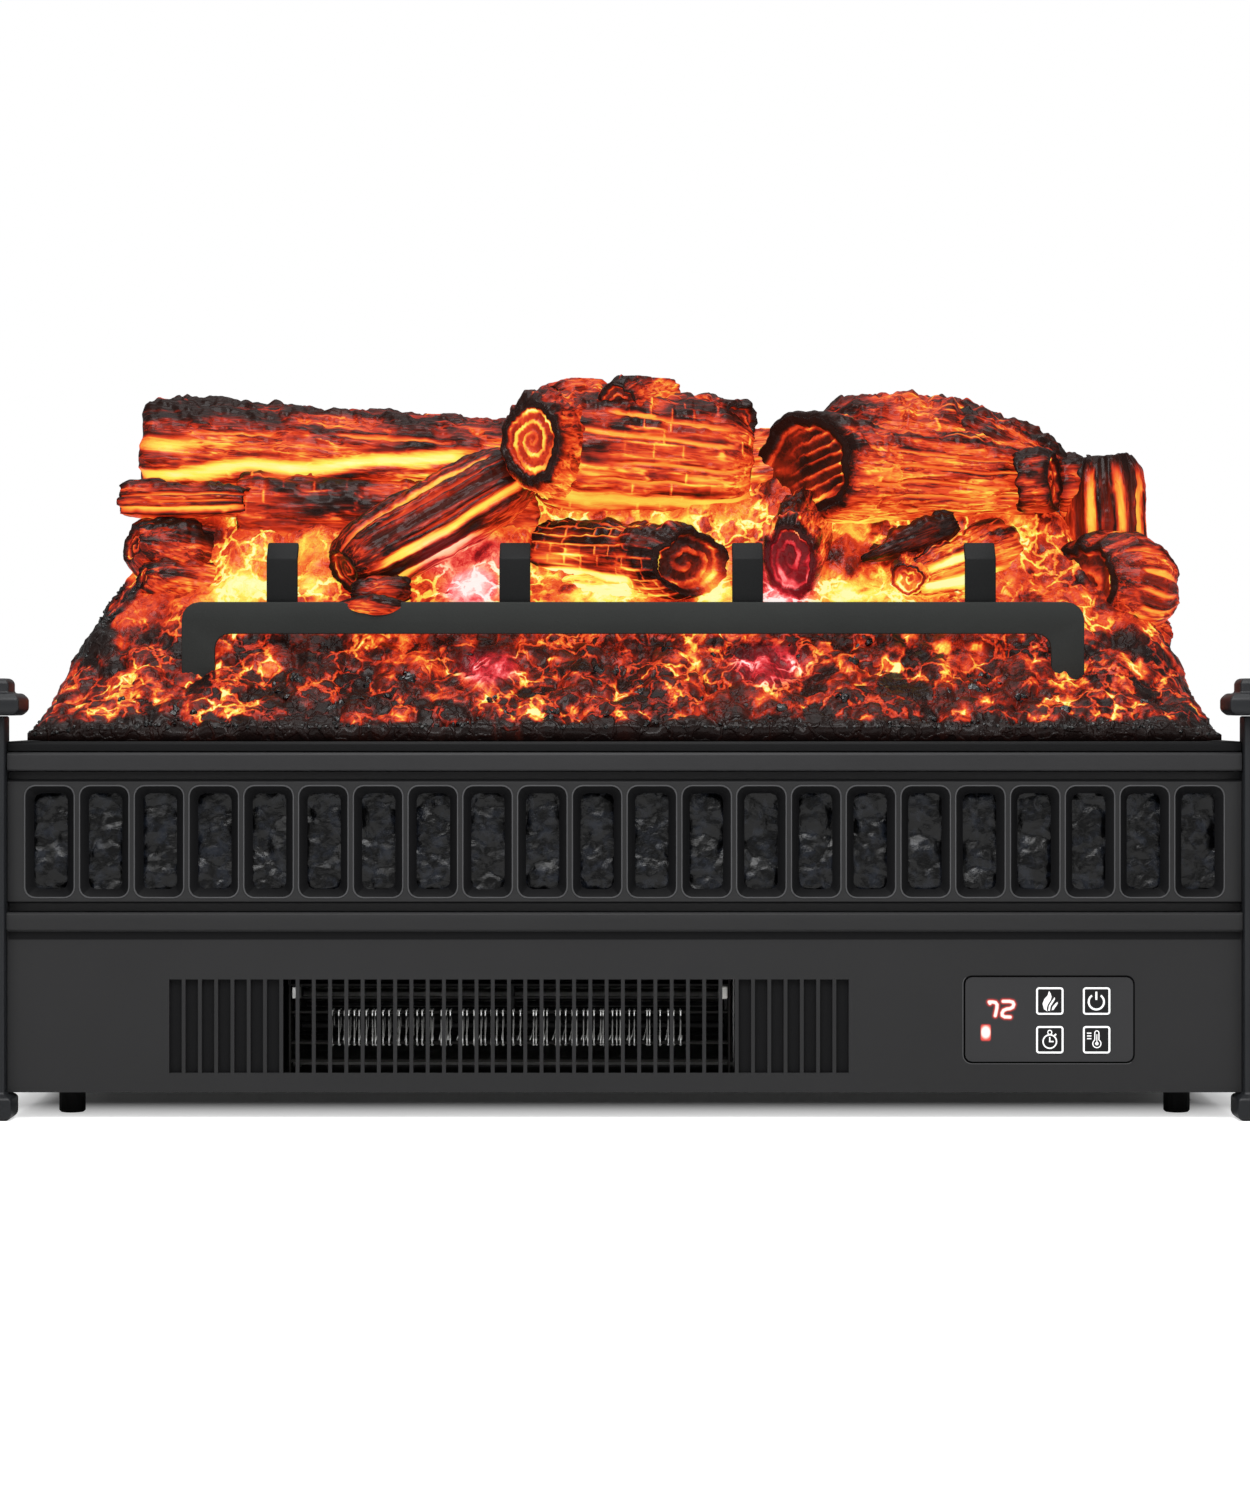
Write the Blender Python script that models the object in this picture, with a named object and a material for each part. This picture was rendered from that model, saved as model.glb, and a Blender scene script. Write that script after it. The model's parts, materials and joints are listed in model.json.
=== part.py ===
"""Electric fireplace log set: heater housing, grate, glowing resin logs and control panel.

Metres, +Z up. The front faces -Y and the origin is on the floor under the middle of the
object's bounding box. One object for each piece; cutters are hidden wire objects.
"""

import math

import bmesh
import bpy
from mathutils import Vector

# Overall sizes
overall_width = 0.660
overall_depth = 0.240
overall_height = 0.380

# Clearances and cutting allowances
fit_gap = 0.0003
cut_overrun = 0.004
edge_bevel = 0.0010

# Corner posts
post_width = 0.0152
post_top = 0.2000
post_foot_width = 0.0228
post_foot_height = 0.0134
post_foot_chamfer = 0.0022
post_cap_width = 0.0320
post_cap_height = 0.0113
post_cap_chamfer = 0.0026
finial_width = 0.0200
finial_height = 0.0074
finial_chamfer = 0.0018

# Housing shell
ground_clearance = 0.0134
sheet = 0.0016
fascia_setback = 0.0150
fascia_thickness = 0.0025
rail_height = 0.0093
rail_proud = 0.0030
lower_rail_bottom = 0.0934
upper_rail_bottom = 0.1728
shadow_groove = 0.0044
deck_top = 0.1875
deck_thickness = 0.0030
deck_lip_depth = 0.0025
deck_front_reveal = 0.0020
rear_reach = 0.0050

# Rubber feet
rubber_foot_radius = 0.0067
rubber_foot_front_reach = 0.035
rubber_foot_rear_reach = 0.030
rubber_foot_side_inset = 0.027
rubber_foot_segments = 16

# Windows in the upper fascia
window_least_pitch = 0.0270
window_end_margin = 0.0209
window_width = 0.0240
window_height = 0.0550
window_corner = 0.0052
window_throat_width = 0.0164
window_throat_height = 0.0475
window_panel_depth = 0.0050
window_flange_depth = 0.0015
window_corner_segments = 2

# Coal relief behind the windows
coal_relief = 0.0045
coal_backing = 0.0022
coal_rail_overlap = 0.0030
coal_columns = 52
coal_rows = 5
coal_lump_pitch = 0.0190
coal_mean_share = 0.5
coal_wave_share = 0.3
coal_swing_share = 0.2

# Hot air grille
slot_count = 42
slot_open_count = 28
slot_pitch = 0.00807
slot_width = 0.0062
slot_bottom = 0.0230
slot_top = 0.0694
slot_centre_x = -0.0573

# Air duct behind the grille
duct_top = 0.0725
duct_bottom = 0.0205
duct_length = 0.0400
duct_sheet = 0.0012
duct_side_margin = 0.0030

# Heating element
frame_front_gap = 0.0060
frame_board = 0.0010
frame_depth = 0.0140
frame_end_gap = 0.0030
frame_strip_inset = 0.0055
wire_radius = 0.0005
wire_loops = 24
wire_loop_height = 0.0180
wire_loop_depth = 0.0160
wire_loop_corner = 0.0024
wire_end_margin = 0.0200
wire_centre_z = 0.0445
terminal_width = 0.0045
terminal_height = 0.0063
terminal_depth = 0.0060
cutout_radius = 0.0070
cutout_height = 0.0075
cutout_flange = 0.0010

# Tangential blower
blower_axis_y = -0.0300
blower_axis_z = 0.0560
wheel_radius = 0.0220
wheel_blades = 18
wheel_disc = 0.0016
blade_chord = 0.0060
blade_thickness = 0.0009
blade_camber = 0.0011
shaft_radius = 0.0025
scroll_running_gap = 0.0025
scroll_growth = 0.0075
scroll_sheet = 0.0012
scroll_steps = 12
scroll_sweep_share = 1.15
bush_radius = 0.0060
bush_length = 0.0060

# Shaded pole motor
motor_gap = 0.0040
stator_length = 0.0160
stator_width = 0.0440
stator_top_reach = 0.0200
stator_bottom_reach = 0.0340
rotor_radius = 0.0110
rotor_air_gap = 0.0006
coil_window_height = 0.0100
coil_window_width = 0.0260
coil_wall = 0.0040
bracket_sheet = 0.0014
bracket_width = 0.0120

# Control panel
panel_width = 0.0838
panel_height = 0.0424
panel_corner = 0.0034
panel_proud = 0.0008
panel_thickness = 0.0042
panel_side_inset = 0.0955
panel_centre_z = 0.0496
key_size = 0.0136
key_corner = 0.0022
key_column_offset = 0.0002
key_column_pitch = 0.0232
key_row_pitch = 0.0192
key_row_drop = 0.0004
key_thickness = 0.0030
key_proud = 0.0004
display_width = 0.0210
display_height = 0.0130
display_offset_x = -0.0237
display_offset_z = 0.0054
lens_width = 0.0054
lens_height = 0.0082
lens_offset_x = -0.0315
lens_offset_z = -0.0065
window_pane_thickness = 0.0020
board_thickness = 0.0016
board_gap = 0.0010
board_margin = 0.0030

# Power board and cord gland
power_board_length = 0.0760
power_board_width = 0.0500
power_board_side_inset = 0.0711
power_board_centre_y = 0.0300
power_board_stand = 0.0060
relay_length = 0.0200
relay_height = 0.0150
capacitor_length = 0.0120
capacitor_height = 0.0190
gland_side_inset = 0.0561
gland_centre_z = 0.0450
gland_radius = 0.0075
gland_bore = 0.0038
gland_flange = 0.0110
gland_flange_thickness = 0.0020

# Rear air intake
intake_rows = 2
intake_columns = 14
intake_pitch = 0.0145
intake_width = 0.0050
intake_height = 0.0300
intake_row_pitch = 0.0400
intake_centre_z = 0.0700

# Ember bed
bed_side_margin = 0.0080
bed_front_margin = 0.0075
bed_back_margin = 0.0180
bed_wall = 0.0060
bed_mound_height = 0.0046
bed_mound_pitch = 0.0450
bed_mound_lean_share = 0.5
bed_mound_swell_share = 0.25
bed_columns = 52
bed_rows = 20
bed_profile_shares = (
    (0.000, 0.030),
    (0.035, 0.058),
    (0.110, 0.110),
    (0.200, 0.170),
    (0.270, 0.225),
    (0.330, 0.300),
    (0.400, 0.370),
    (0.480, 0.430),
    (0.550, 0.560),
    (0.620, 0.700),
    (0.700, 0.750),
    (0.800, 0.710),
    (0.900, 0.420),
    (0.965, 0.160),
    (1.000, 0.040),
)
bed_shoulder_share = 0.42
bed_crest_side_shares = ((0.0, 0.0), (0.05, 0.10), (0.10, 0.62), (0.16, 0.92), (0.22, 1.0))
bed_hollow_shares = ((0.88, 0.24, 0.90, -0.02), (0.86, 0.26, 0.88, 0.06), (0.80, 0.34, 0.82, 0.13))
bed_side_profile_shares = ((0.0, 0.16), (0.024, 0.60), (0.048, 0.86), (0.10, 0.97), (0.20, 1.0))

# Light boards inside the ember bed
led_board_length_share = 0.80
led_board_width = 0.0160
led_count = 14
led_size = 0.0050
led_height = 0.0020
led_front_board_share = 0.36
led_rear_board_share = 0.72

# Logs. The log radius is a share of the mean of the pile's height and depth. Ends are (x, y, z)
# shares of half the overall width, half the overall depth and the height of the pile above
# the deck; then the two radius shares of the log radius, the
# number of bark ridges and the twist of the ridges in turns.
log_radius_share = 0.1156
log_segments = 14
log_rings = 5
log_ridge_share = 0.075
log_swell_share = 0.05
log_end_chamfer_share = 0.10
log_end_dish_share = 0.06
log_end_rim_share = 0.82
log_end_core_share = 0.45
log_table_shares = {
    "log_front_centre": ((-0.140, 0.14, 0.520), (0.102, -0.20, 0.465), 0.72, 0.80, 7, 0.02),
    "log_centre_stub": ((0.289, 0.16, 0.551), (0.252, -0.27, 0.476), 0.84, 0.80, 6, 0.05),
    "log_front_right": ((0.606, 0.15, 0.510), (0.444, -0.25, 0.420), 0.76, 0.48, 6, 0.04),
    "log_right_low": ((0.868, 0.14, 0.405), (0.724, -0.04, 0.432), 1.04, 1.20, 8, 0.03),
    "log_left_stub": ((-0.630, 0.31, 0.485), (-0.795, 0.01, 0.500), 0.94, 0.86, 6, 0.02),
    "log_diagonal": ((-0.182, 0.12, 0.775), (-0.472, -0.16, 0.412), 0.56, 0.66, 7, 0.06),
    "log_centre_top": ((0.215, 0.28, 0.745), (-0.150, 0.15, 0.785), 1.18, 1.28, 9, 0.04),
    "log_right_top": ((0.694, 0.26, 0.708), (0.282, 0.08, 0.728), 0.84, 1.16, 9, 0.05),
    "log_left_middle": ((-0.585, 0.16, 0.690), (-0.806, 0.12, 0.690), 0.58, 0.60, 5, 0.02),
    "log_right_rear": ((0.783, 0.31, 0.450), (0.782, 0.30, 0.785), 0.94, 0.88, 8, 0.00),
    "log_left_back": ((-0.145, 0.38, 0.775), (-0.785, 0.38, 0.812), 1.08, 1.10, 7, 0.03),
    "log_right_crown": ((0.660, 0.48, 0.820), (0.330, 0.48, 0.8912), 0.90, 0.86, 7, 0.04),
}

# Grate
grate_left = -0.2258
grate_right = 0.2344
grate_bar_top = 0.2580
grate_bar_height = 0.0163
grate_leg_width = 0.0170
grate_leg_foot = 0.2080
grate_outer_corner = 0.0092
grate_inner_corner = 0.0076
grate_thickness = 0.0034
grate_plane_y = -0.0560
grate_corner_segments = 4
tine_count = 4
tine_first_share = 0.1106
tine_pitch_share = 0.25837
tine_width = 0.0158
tine_top = 0.2890
tine_lap = 0.0130
tine_bend = 0.0085
tine_thickness = 0.0034

# Places worked out from the sizes above
half_width = overall_width / 2
half_depth = overall_depth / 2
post_x = half_width - post_cap_width / 2
post_y = -half_depth + post_cap_width / 2
shell_half = post_x - post_width / 2 - fit_gap
fascia_front = -half_depth + fascia_setback
fascia_back = fascia_front + fascia_thickness
inner_front = fascia_back + fit_gap
rear_outer = half_depth - rear_reach
rear_inner = rear_outer - sheet
lower_rail_top = lower_rail_bottom + rail_height
upper_rail_top = upper_rail_bottom + rail_height
rail_front = fascia_front - rail_proud
rail_back = fascia_front + window_panel_depth
pan_front = rail_back + fit_gap
pan_floor = ground_clearance + sheet
deck_under = deck_top - deck_thickness
wall_top = deck_under - fit_gap
bed_front = fascia_front + bed_front_margin
bed_back = rear_outer - bed_back_margin
bed_half = shell_half - bed_side_margin
bed_base = deck_top + fit_gap
pile_height = overall_height - deck_top
log_radius = (pile_height + overall_depth) / 2 * log_radius_share
panel_centre_x = shell_half - panel_side_inset
gland_centre_x = shell_half - gland_side_inset
power_board_centre_x = shell_half - power_board_side_inset
window_span = 2 * (shell_half - window_end_margin)
window_count = int(window_span / window_least_pitch) + 1
window_pitch = window_span / (window_count - 1)
grille_left = slot_centre_x - slot_open_count * slot_pitch / 2
grille_right = slot_centre_x + slot_open_count * slot_pitch / 2
grille_reach = slot_count * slot_pitch / 2 + duct_side_margin
duct_back = inner_front + duct_length
scroll_inner = wheel_radius + scroll_running_gap
frame_front = inner_front + frame_front_gap
frame_mid_y = frame_front + frame_depth / 2
wheel_left = grille_left + duct_side_margin
wheel_right = grille_right - duct_side_margin
scroll_left = wheel_left - duct_side_margin
scroll_right = wheel_right + duct_side_margin
motor_left = scroll_right + scroll_sheet + motor_gap
motor_right = motor_left + stator_length
floor_seat = pan_floor + fit_gap

# Colours as linear values, with roughness and metallic
finish_table = {
    "charcoal_plastic": ((0.026, 0.026, 0.027), 0.52, 0.0),
    "rail_plastic": ((0.042, 0.042, 0.044), 0.46, 0.0),
    "post_paint": ((0.022, 0.024, 0.027), 0.45, 0.0),
    "black_gloss": ((0.006, 0.006, 0.008), 0.15, 0.0),
    "coal_plastic": ((0.012, 0.013, 0.016), 0.22, 0.0),
    "black_rubber": ((0.012, 0.012, 0.012), 0.80, 0.0),
    "black_sheet": ((0.020, 0.020, 0.020), 0.50, 0.0),
    "bare_sheet": ((0.420, 0.420, 0.410), 0.38, 1.0),
    "mica": ((0.360, 0.310, 0.210), 0.55, 0.0),
    "heater_wire": ((0.300, 0.270, 0.240), 0.35, 1.0),
    "white_ceramic": ((0.740, 0.730, 0.690), 0.40, 0.0),
    "white_plastic": ((0.620, 0.620, 0.600), 0.45, 0.0),
    "lamination": ((0.170, 0.170, 0.180), 0.48, 1.0),
    "copper_coil": ((0.480, 0.200, 0.090), 0.40, 0.5),
    "circuit_board": ((0.020, 0.130, 0.050), 0.45, 0.0),
    "ember_resin": ((0.300, 0.040, 0.010), 0.45, 0.0),
    "log_resin": ((0.420, 0.075, 0.015), 0.42, 0.0),
    "grate_paint": ((0.016, 0.018, 0.018), 0.62, 0.0),
    "red_lens": ((0.700, 0.020, 0.010), 0.20, 0.0),
}


def clear_scene():
    """Remove every object that the file holds."""
    for obj in list(bpy.data.objects):
        bpy.data.objects.remove(obj, do_unlink=True)


def finish(name):
    """Return the named material, made on first use."""
    mat = bpy.data.materials.get(name)
    if mat is None:
        colour, roughness, metallic = finish_table[name]
        mat = bpy.data.materials.new(name)
        mat.use_nodes = True
        shader = mat.node_tree.nodes["Principled BSDF"]
        shader.inputs["Base Color"].default_value = (*colour, 1.0)
        shader.inputs["Roughness"].default_value = roughness
        shader.inputs["Metallic"].default_value = metallic
    return mat


def group(name, location=(0, 0, 0)):
    """Add an empty that carries the pieces of one body."""
    empty = bpy.data.objects.new(name, None)
    empty.location = location
    bpy.context.scene.collection.objects.link(empty)
    return empty


def add_piece(name, bm, finish_name, parent=None, location=(0, 0, 0), smooth=False):
    """Turn a bmesh into a named object under its body's empty."""
    bmesh.ops.recalc_face_normals(bm, faces=bm.faces[:])
    mesh = bpy.data.meshes.new(name)
    for face in bm.faces:
        face.smooth = smooth
    bm.to_mesh(mesh)
    bm.free()
    obj = bpy.data.objects.new(name, mesh)
    obj.location = location
    bpy.context.scene.collection.objects.link(obj)
    if finish_name:
        mesh.materials.append(finish(finish_name))
    if parent is not None:
        obj.parent = parent
        obj.location = Vector(location) - parent.location
    return obj


def add_cutter(name, bm):
    """Turn a bmesh into a hidden wire object that only cuts or joins."""
    obj = add_piece(name, bm, None)
    obj.hide_render = True
    obj.display_type = 'WIRE'
    return obj


def boolean(obj, cutter, operation='DIFFERENCE'):
    """Add one exact boolean modifier."""
    modifier = obj.modifiers.new(cutter.name, 'BOOLEAN')
    modifier.operation = operation
    modifier.solver = 'EXACT'
    modifier.object = cutter


def bevel(obj, width, segments=1):
    """Add a bevel to the sharp edges."""
    modifier = obj.modifiers.new("bevel", 'BEVEL')
    modifier.width = width
    modifier.segments = segments
    modifier.limit_method = 'ANGLE'
    return modifier


def fill_box(bm, low, high):
    """Add a box between two corners."""
    made = bmesh.ops.create_cube(bm, size=1.0)
    size = [high[i] - low[i] for i in range(3)]
    middle = [(high[i] + low[i]) / 2 for i in range(3)]
    bmesh.ops.scale(bm, vec=size, verts=made["verts"])
    bmesh.ops.translate(bm, vec=middle, verts=made["verts"])


def loft(bm, loops):
    """Skin closed loops of points and cap both ends."""
    rows = [[bm.verts.new(point) for point in loop] for loop in loops]
    count = len(rows[0])
    for lower, upper in zip(rows, rows[1:]):
        for i in range(count):
            j = (i + 1) % count
            bm.faces.new((lower[i], lower[j], upper[j], upper[i]))
    bm.faces.new(list(reversed(rows[0])))
    bm.faces.new(rows[-1])


def fill_prism_x(bm, outline, left, right):
    """Extrude a (y, z) outline along X."""
    loft(bm, [[(x, y, z) for y, z in outline] for x in (left, right)])


def fill_prism_y(bm, outline, front, back):
    """Extrude an (x, z) outline along Y."""
    loft(bm, [[(x, y, z) for x, z in outline] for y in (front, back)])


def fill_turned(bm, profile, centre, axis, segments):
    """Revolve (radius, distance) pairs round an axis through a centre: a closed solid."""
    loops = []
    for radius, along in profile:
        loop = []
        for i in range(segments):
            angle = 2 * math.pi * i / segments
            across = radius * math.cos(angle)
            up = radius * math.sin(angle)
            if axis == 'X':
                loop.append((centre[0] + along, centre[1] + across, centre[2] + up))
            elif axis == 'Y':
                loop.append((centre[0] + across, centre[1] + along, centre[2] + up))
            else:
                loop.append((centre[0] + across, centre[1] + up, centre[2] + along))
        loops.append(loop)
    loft(bm, loops)


def rounded_outline(width, height, corner, segments, centre=(0, 0)):
    """Return the points of a rounded rectangle."""
    points = []
    corners = ((1, 1, 0.0), (-1, 1, 0.5), (-1, -1, 1.0), (1, -1, 1.5))
    for side_x, side_z, start in corners:
        for i in range(segments + 1):
            angle = math.pi * (start + i / segments / 2)
            x = side_x * (width / 2 - corner) + corner * math.cos(angle)
            z = side_z * (height / 2 - corner) + corner * math.sin(angle)
            points.append((centre[0] + x, centre[1] + z))
    return points


def square_loops(sections):
    """Return square loops from (half width, height) pairs."""
    signs = ((-1, -1), (1, -1), (1, 1), (-1, 1))
    return [[(sx * half, sy * half, z) for sx, sy in signs] for half, z in sections]


# Posts and feet

def make_post(name, side, parent):
    """A square post that widens into its foot."""
    foot = post_foot_width / 2
    shaft = post_width / 2
    sections = (
        (foot - post_foot_chamfer, 0),
        (foot, post_foot_chamfer),
        (foot, post_foot_height - post_foot_chamfer),
        (shaft, post_foot_height),
        (shaft, post_top),
    )
    bm = bmesh.new()
    loft(bm, square_loops(sections))
    return add_piece(name, bm, "post_paint", parent, (side * post_x, post_y, 0))


def make_finial(name, side, parent):
    """The wide bevelled cap and the small block that crown a post."""
    cap = post_cap_width / 2
    block = finial_width / 2
    base = fit_gap
    sections = (
        (cap - post_cap_chamfer, base),
        (cap, base + post_cap_chamfer),
        (cap, post_cap_height - post_cap_chamfer),
        (cap - post_cap_chamfer, post_cap_height),
        (block, post_cap_height),
        (block, post_cap_height + finial_height - finial_chamfer),
        (block - finial_chamfer, post_cap_height + finial_height),
    )
    bm = bmesh.new()
    loft(bm, square_loops(sections))
    return add_piece(name, bm, "post_paint", parent, (side * post_x, post_y, post_top))


def make_rubber_feet(parent):
    """Four rubber feet under the pan."""
    front = fascia_front + rubber_foot_front_reach
    rear = rear_outer - rubber_foot_rear_reach
    side = shell_half - rubber_foot_side_inset
    height = ground_clearance - fit_gap
    profile = (
        (rubber_foot_radius - edge_bevel, 0),
        (rubber_foot_radius, edge_bevel),
        (rubber_foot_radius, height),
    )
    places = {
        "foot_front_left": (-side, front),
        "foot_front_right": (side, front),
        "foot_rear_left": (-side, rear),
        "foot_rear_right": (side, rear),
    }
    for name, (x, y) in places.items():
        bm = bmesh.new()
        fill_turned(bm, profile, (0, 0, 0), 'Z', rubber_foot_segments)
        add_piece(name, bm, "black_rubber", parent, (x, y, 0), smooth=True)


# Housing shell

def make_housing_pan(parent):
    """Folded sheet: the floor and both side walls."""
    floor, top = ground_clearance, wall_top
    outer, inner = shell_half, shell_half - sheet
    outline = (
        (-outer, floor), (outer, floor), (outer, top), (inner, top),
        (inner, floor + sheet), (-inner, floor + sheet), (-inner, top), (-outer, top),
    )
    bm = bmesh.new()
    fill_prism_y(bm, outline, pan_front, rear_inner - fit_gap)
    return add_piece("housing_pan", bm, "black_sheet", parent)


def make_lower_fascia(parent):
    """Moulded lower front: grille slots, panel opening and the proud rail above."""
    step = rail_proud / 3
    outline = (
        (fascia_front, ground_clearance),
        (rail_back, ground_clearance),
        (rail_back, ground_clearance + sheet),
        (fascia_back, ground_clearance + sheet),
        (fascia_back, lower_rail_bottom),
        (rail_back, lower_rail_bottom + step),
        (rail_back, lower_rail_top),
        (rail_front + edge_bevel, lower_rail_top),
        (rail_front, lower_rail_top - edge_bevel),
        (rail_front, lower_rail_bottom + edge_bevel),
        (rail_front + edge_bevel, lower_rail_bottom),
        (fascia_front, lower_rail_bottom),
    )
    bm = bmesh.new()
    fill_prism_x(bm, outline, -shell_half, shell_half)
    fascia = add_piece("lower_fascia", bm, "charcoal_plastic", parent)

    bm = bmesh.new()
    first = slot_centre_x - (slot_count - 1) * slot_pitch / 2
    for i in range(slot_count):
        x = first + i * slot_pitch
        low = (x - slot_width / 2, fascia_front - cut_overrun, slot_bottom)
        high = (x + slot_width / 2, fascia_back + cut_overrun, slot_top)
        fill_box(bm, low, high)
    boolean(fascia, add_cutter("grille_slots", bm))

    bm = bmesh.new()
    outline = rounded_outline(panel_width, panel_height, panel_corner, 3,
                              (panel_centre_x, panel_centre_z))
    fill_prism_y(bm, outline, fascia_front - cut_overrun, fascia_back + cut_overrun)
    boolean(fascia, add_cutter("panel_opening", bm))
    return fascia


def make_window_fascia(parent):
    """Upper front panel with its row of funnel shaped windows."""
    low = lower_rail_top + shadow_groove
    high = upper_rail_bottom - shadow_groove
    back = rail_back
    flange = back - window_flange_depth
    outline = (
        (fascia_front + edge_bevel, low),
        (flange, low),
        (flange, lower_rail_top + fit_gap),
        (back, lower_rail_top + fit_gap),
        (back, upper_rail_bottom - fit_gap),
        (flange, upper_rail_bottom - fit_gap),
        (flange, high),
        (fascia_front + edge_bevel, high),
        (fascia_front, high - edge_bevel),
        (fascia_front, low + edge_bevel),
    )
    bm = bmesh.new()
    fill_prism_x(bm, outline, -shell_half, shell_half)
    panel = add_piece("window_fascia", bm, "charcoal_plastic", parent)

    bm = bmesh.new()
    middle = (low + high) / 2
    first = -(window_count - 1) * window_pitch / 2
    grow = cut_overrun / window_panel_depth
    slope_x = (window_width - window_throat_width) * grow
    slope_z = (window_height - window_throat_height) * grow
    for i in range(window_count):
        centre = (first + i * window_pitch, middle)
        mouth = rounded_outline(window_width + slope_x, window_height + slope_z,
                                window_corner, window_corner_segments, centre)
        throat = rounded_outline(window_throat_width - slope_x, window_throat_height - slope_z,
                                 window_corner / 2, window_corner_segments, centre)
        loops = [
            [(x, fascia_front - cut_overrun, z) for x, z in mouth],
            [(x, back + cut_overrun, z) for x, z in throat],
        ]
        loft(bm, loops)
    boolean(panel, add_cutter("window_funnels", bm))
    return panel


def make_upper_rail(parent):
    """Proud rail under the deck."""
    outline = (
        (rail_front + edge_bevel, upper_rail_bottom),
        (rail_back, upper_rail_bottom),
        (rail_back, upper_rail_top),
        (rail_front + edge_bevel, upper_rail_top),
        (rail_front, upper_rail_top - edge_bevel),
        (rail_front, upper_rail_bottom + edge_bevel),
    )
    bm = bmesh.new()
    fill_prism_x(bm, outline, -shell_half, shell_half)
    return add_piece("upper_trim_rail", bm, "rail_plastic", parent)


def make_coal_insert(parent):
    """Moulded strip of coal lumps seen through the windows."""
    low = lower_rail_top - coal_rail_overlap
    high = upper_rail_bottom + coal_rail_overlap
    half = shell_half - sheet - fit_gap
    front = rail_back + fit_gap
    back = front + coal_relief + coal_backing
    bm = bmesh.new()
    face_rows = []
    for row in range(coal_rows + 1):
        z = low + (high - low) * row / coal_rows
        verts = []
        for column in range(coal_columns + 1):
            x = -half + 2 * half * column / coal_columns
            shift = coal_lump_pitch * (row % 2) / 2
            wave = math.cos(2 * math.pi * (x + shift) / coal_lump_pitch)
            swing = math.sin(5 * math.pi * x / coal_lump_pitch / 7 + row)
            depth = coal_relief * (coal_mean_share - coal_wave_share * wave - coal_swing_share * swing)
            if row in (0, coal_rows) or column in (0, coal_columns):
                depth = coal_relief
            verts.append(bm.verts.new((x, front + depth, z)))
        face_rows.append(verts)
    for lower, upper in zip(face_rows, face_rows[1:]):
        for i in range(coal_columns):
            bm.faces.new((lower[i], lower[i + 1], upper[i + 1], upper[i]))
    border = [edge for edge in bm.edges if edge.is_boundary]
    made = bmesh.ops.extrude_edge_only(bm, edges=border)
    moved = [item for item in made["geom"] if isinstance(item, bmesh.types.BMVert)]
    for vert in moved:
        vert.co.y = back
    rim = [edge for edge in bm.edges if edge.is_boundary]
    bmesh.ops.contextual_create(bm, geom=rim)
    return add_piece("coal_insert", bm, "coal_plastic", parent)


def make_top_deck(parent):
    """Deck plate with a turned down front lip."""
    front = rail_front + deck_front_reveal
    lip = upper_rail_top + fit_gap
    outline = (
        (front, lip),
        (front + deck_lip_depth, lip),
        (front + deck_lip_depth, deck_under),
        (rear_outer, deck_under),
        (rear_outer, deck_top),
        (front + edge_bevel, deck_top),
        (front, deck_top - edge_bevel),
    )
    bm = bmesh.new()
    fill_prism_x(bm, outline, -shell_half, shell_half)
    return add_piece("top_deck", bm, "charcoal_plastic", parent)


def make_rear_cover(parent):
    """Back plate with the air intake slots and the cord hole."""
    bm = bmesh.new()
    fill_box(bm, (-shell_half, rear_inner, ground_clearance), (shell_half, rear_outer, wall_top))
    cover = add_piece("rear_cover", bm, "black_sheet", parent)

    bm = bmesh.new()
    first_x = slot_centre_x - (intake_columns - 1) * intake_pitch / 2
    first_z = intake_centre_z - (intake_rows - 1) * intake_row_pitch / 2
    for row in range(intake_rows):
        z = first_z + row * intake_row_pitch
        for column in range(intake_columns):
            x = first_x + column * intake_pitch
            low = (x - intake_width / 2, rear_inner - cut_overrun, z - intake_height / 2)
            high = (x + intake_width / 2, rear_outer + cut_overrun, z + intake_height / 2)
            fill_box(bm, low, high)
    boolean(cover, add_cutter("intake_slots", bm))

    bm = bmesh.new()
    profile = ((gland_radius + fit_gap, -cut_overrun), (gland_radius + fit_gap, cut_overrun))
    fill_turned(bm, profile, (gland_centre_x, rear_outer, gland_centre_z), 'Y', 16)
    boolean(cover, add_cutter("cord_hole", bm))
    return cover


def make_cord_gland(parent):
    """Gland for the mains cord, which isn't modelled."""
    inside = rear_inner - fit_gap
    profile = (
        (gland_flange, inside - gland_flange_thickness),
        (gland_flange, inside),
        (gland_radius, inside),
        (gland_radius, half_depth - edge_bevel),
        (gland_radius - edge_bevel, half_depth),
    )
    bm = bmesh.new()
    fill_turned(bm, profile, (0, 0, 0), 'Y', 16)
    gland = add_piece("cord_gland", bm, "black_rubber", parent,
                      (gland_centre_x, 0, gland_centre_z), smooth=True)
    bm = bmesh.new()
    reach = gland_flange_thickness + cut_overrun
    profile = ((gland_bore, inside - reach), (gland_bore, half_depth + cut_overrun))
    fill_turned(bm, profile, (gland_centre_x, 0, gland_centre_z), 'Y', 12)
    boolean(gland, add_cutter("gland_bore_cut", bm))
    return gland


# Heater

def make_air_duct(parent):
    """Sheet metal duct from the blower to the grille, with flanges behind the blind slots."""
    front, back = inner_front, duct_back
    bm = bmesh.new()
    low = (slot_centre_x - grille_reach, front, duct_bottom)
    high = (slot_centre_x + grille_reach, front + duct_sheet, duct_top)
    fill_box(bm, low, high)
    duct = add_piece("air_duct", bm, "black_sheet", parent)

    bm = bmesh.new()
    low = (grille_left - duct_sheet, front + duct_sheet / 2, duct_bottom)
    high = (grille_right + duct_sheet, back, duct_top)
    fill_box(bm, low, high)
    boolean(duct, add_cutter("duct_tube", bm), 'UNION')

    bm = bmesh.new()
    low = (grille_left, front - cut_overrun, duct_bottom + duct_sheet)
    high = (grille_right, back + cut_overrun, duct_top - duct_sheet)
    fill_box(bm, low, high)
    boolean(duct, add_cutter("duct_passage", bm))
    return duct


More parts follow.
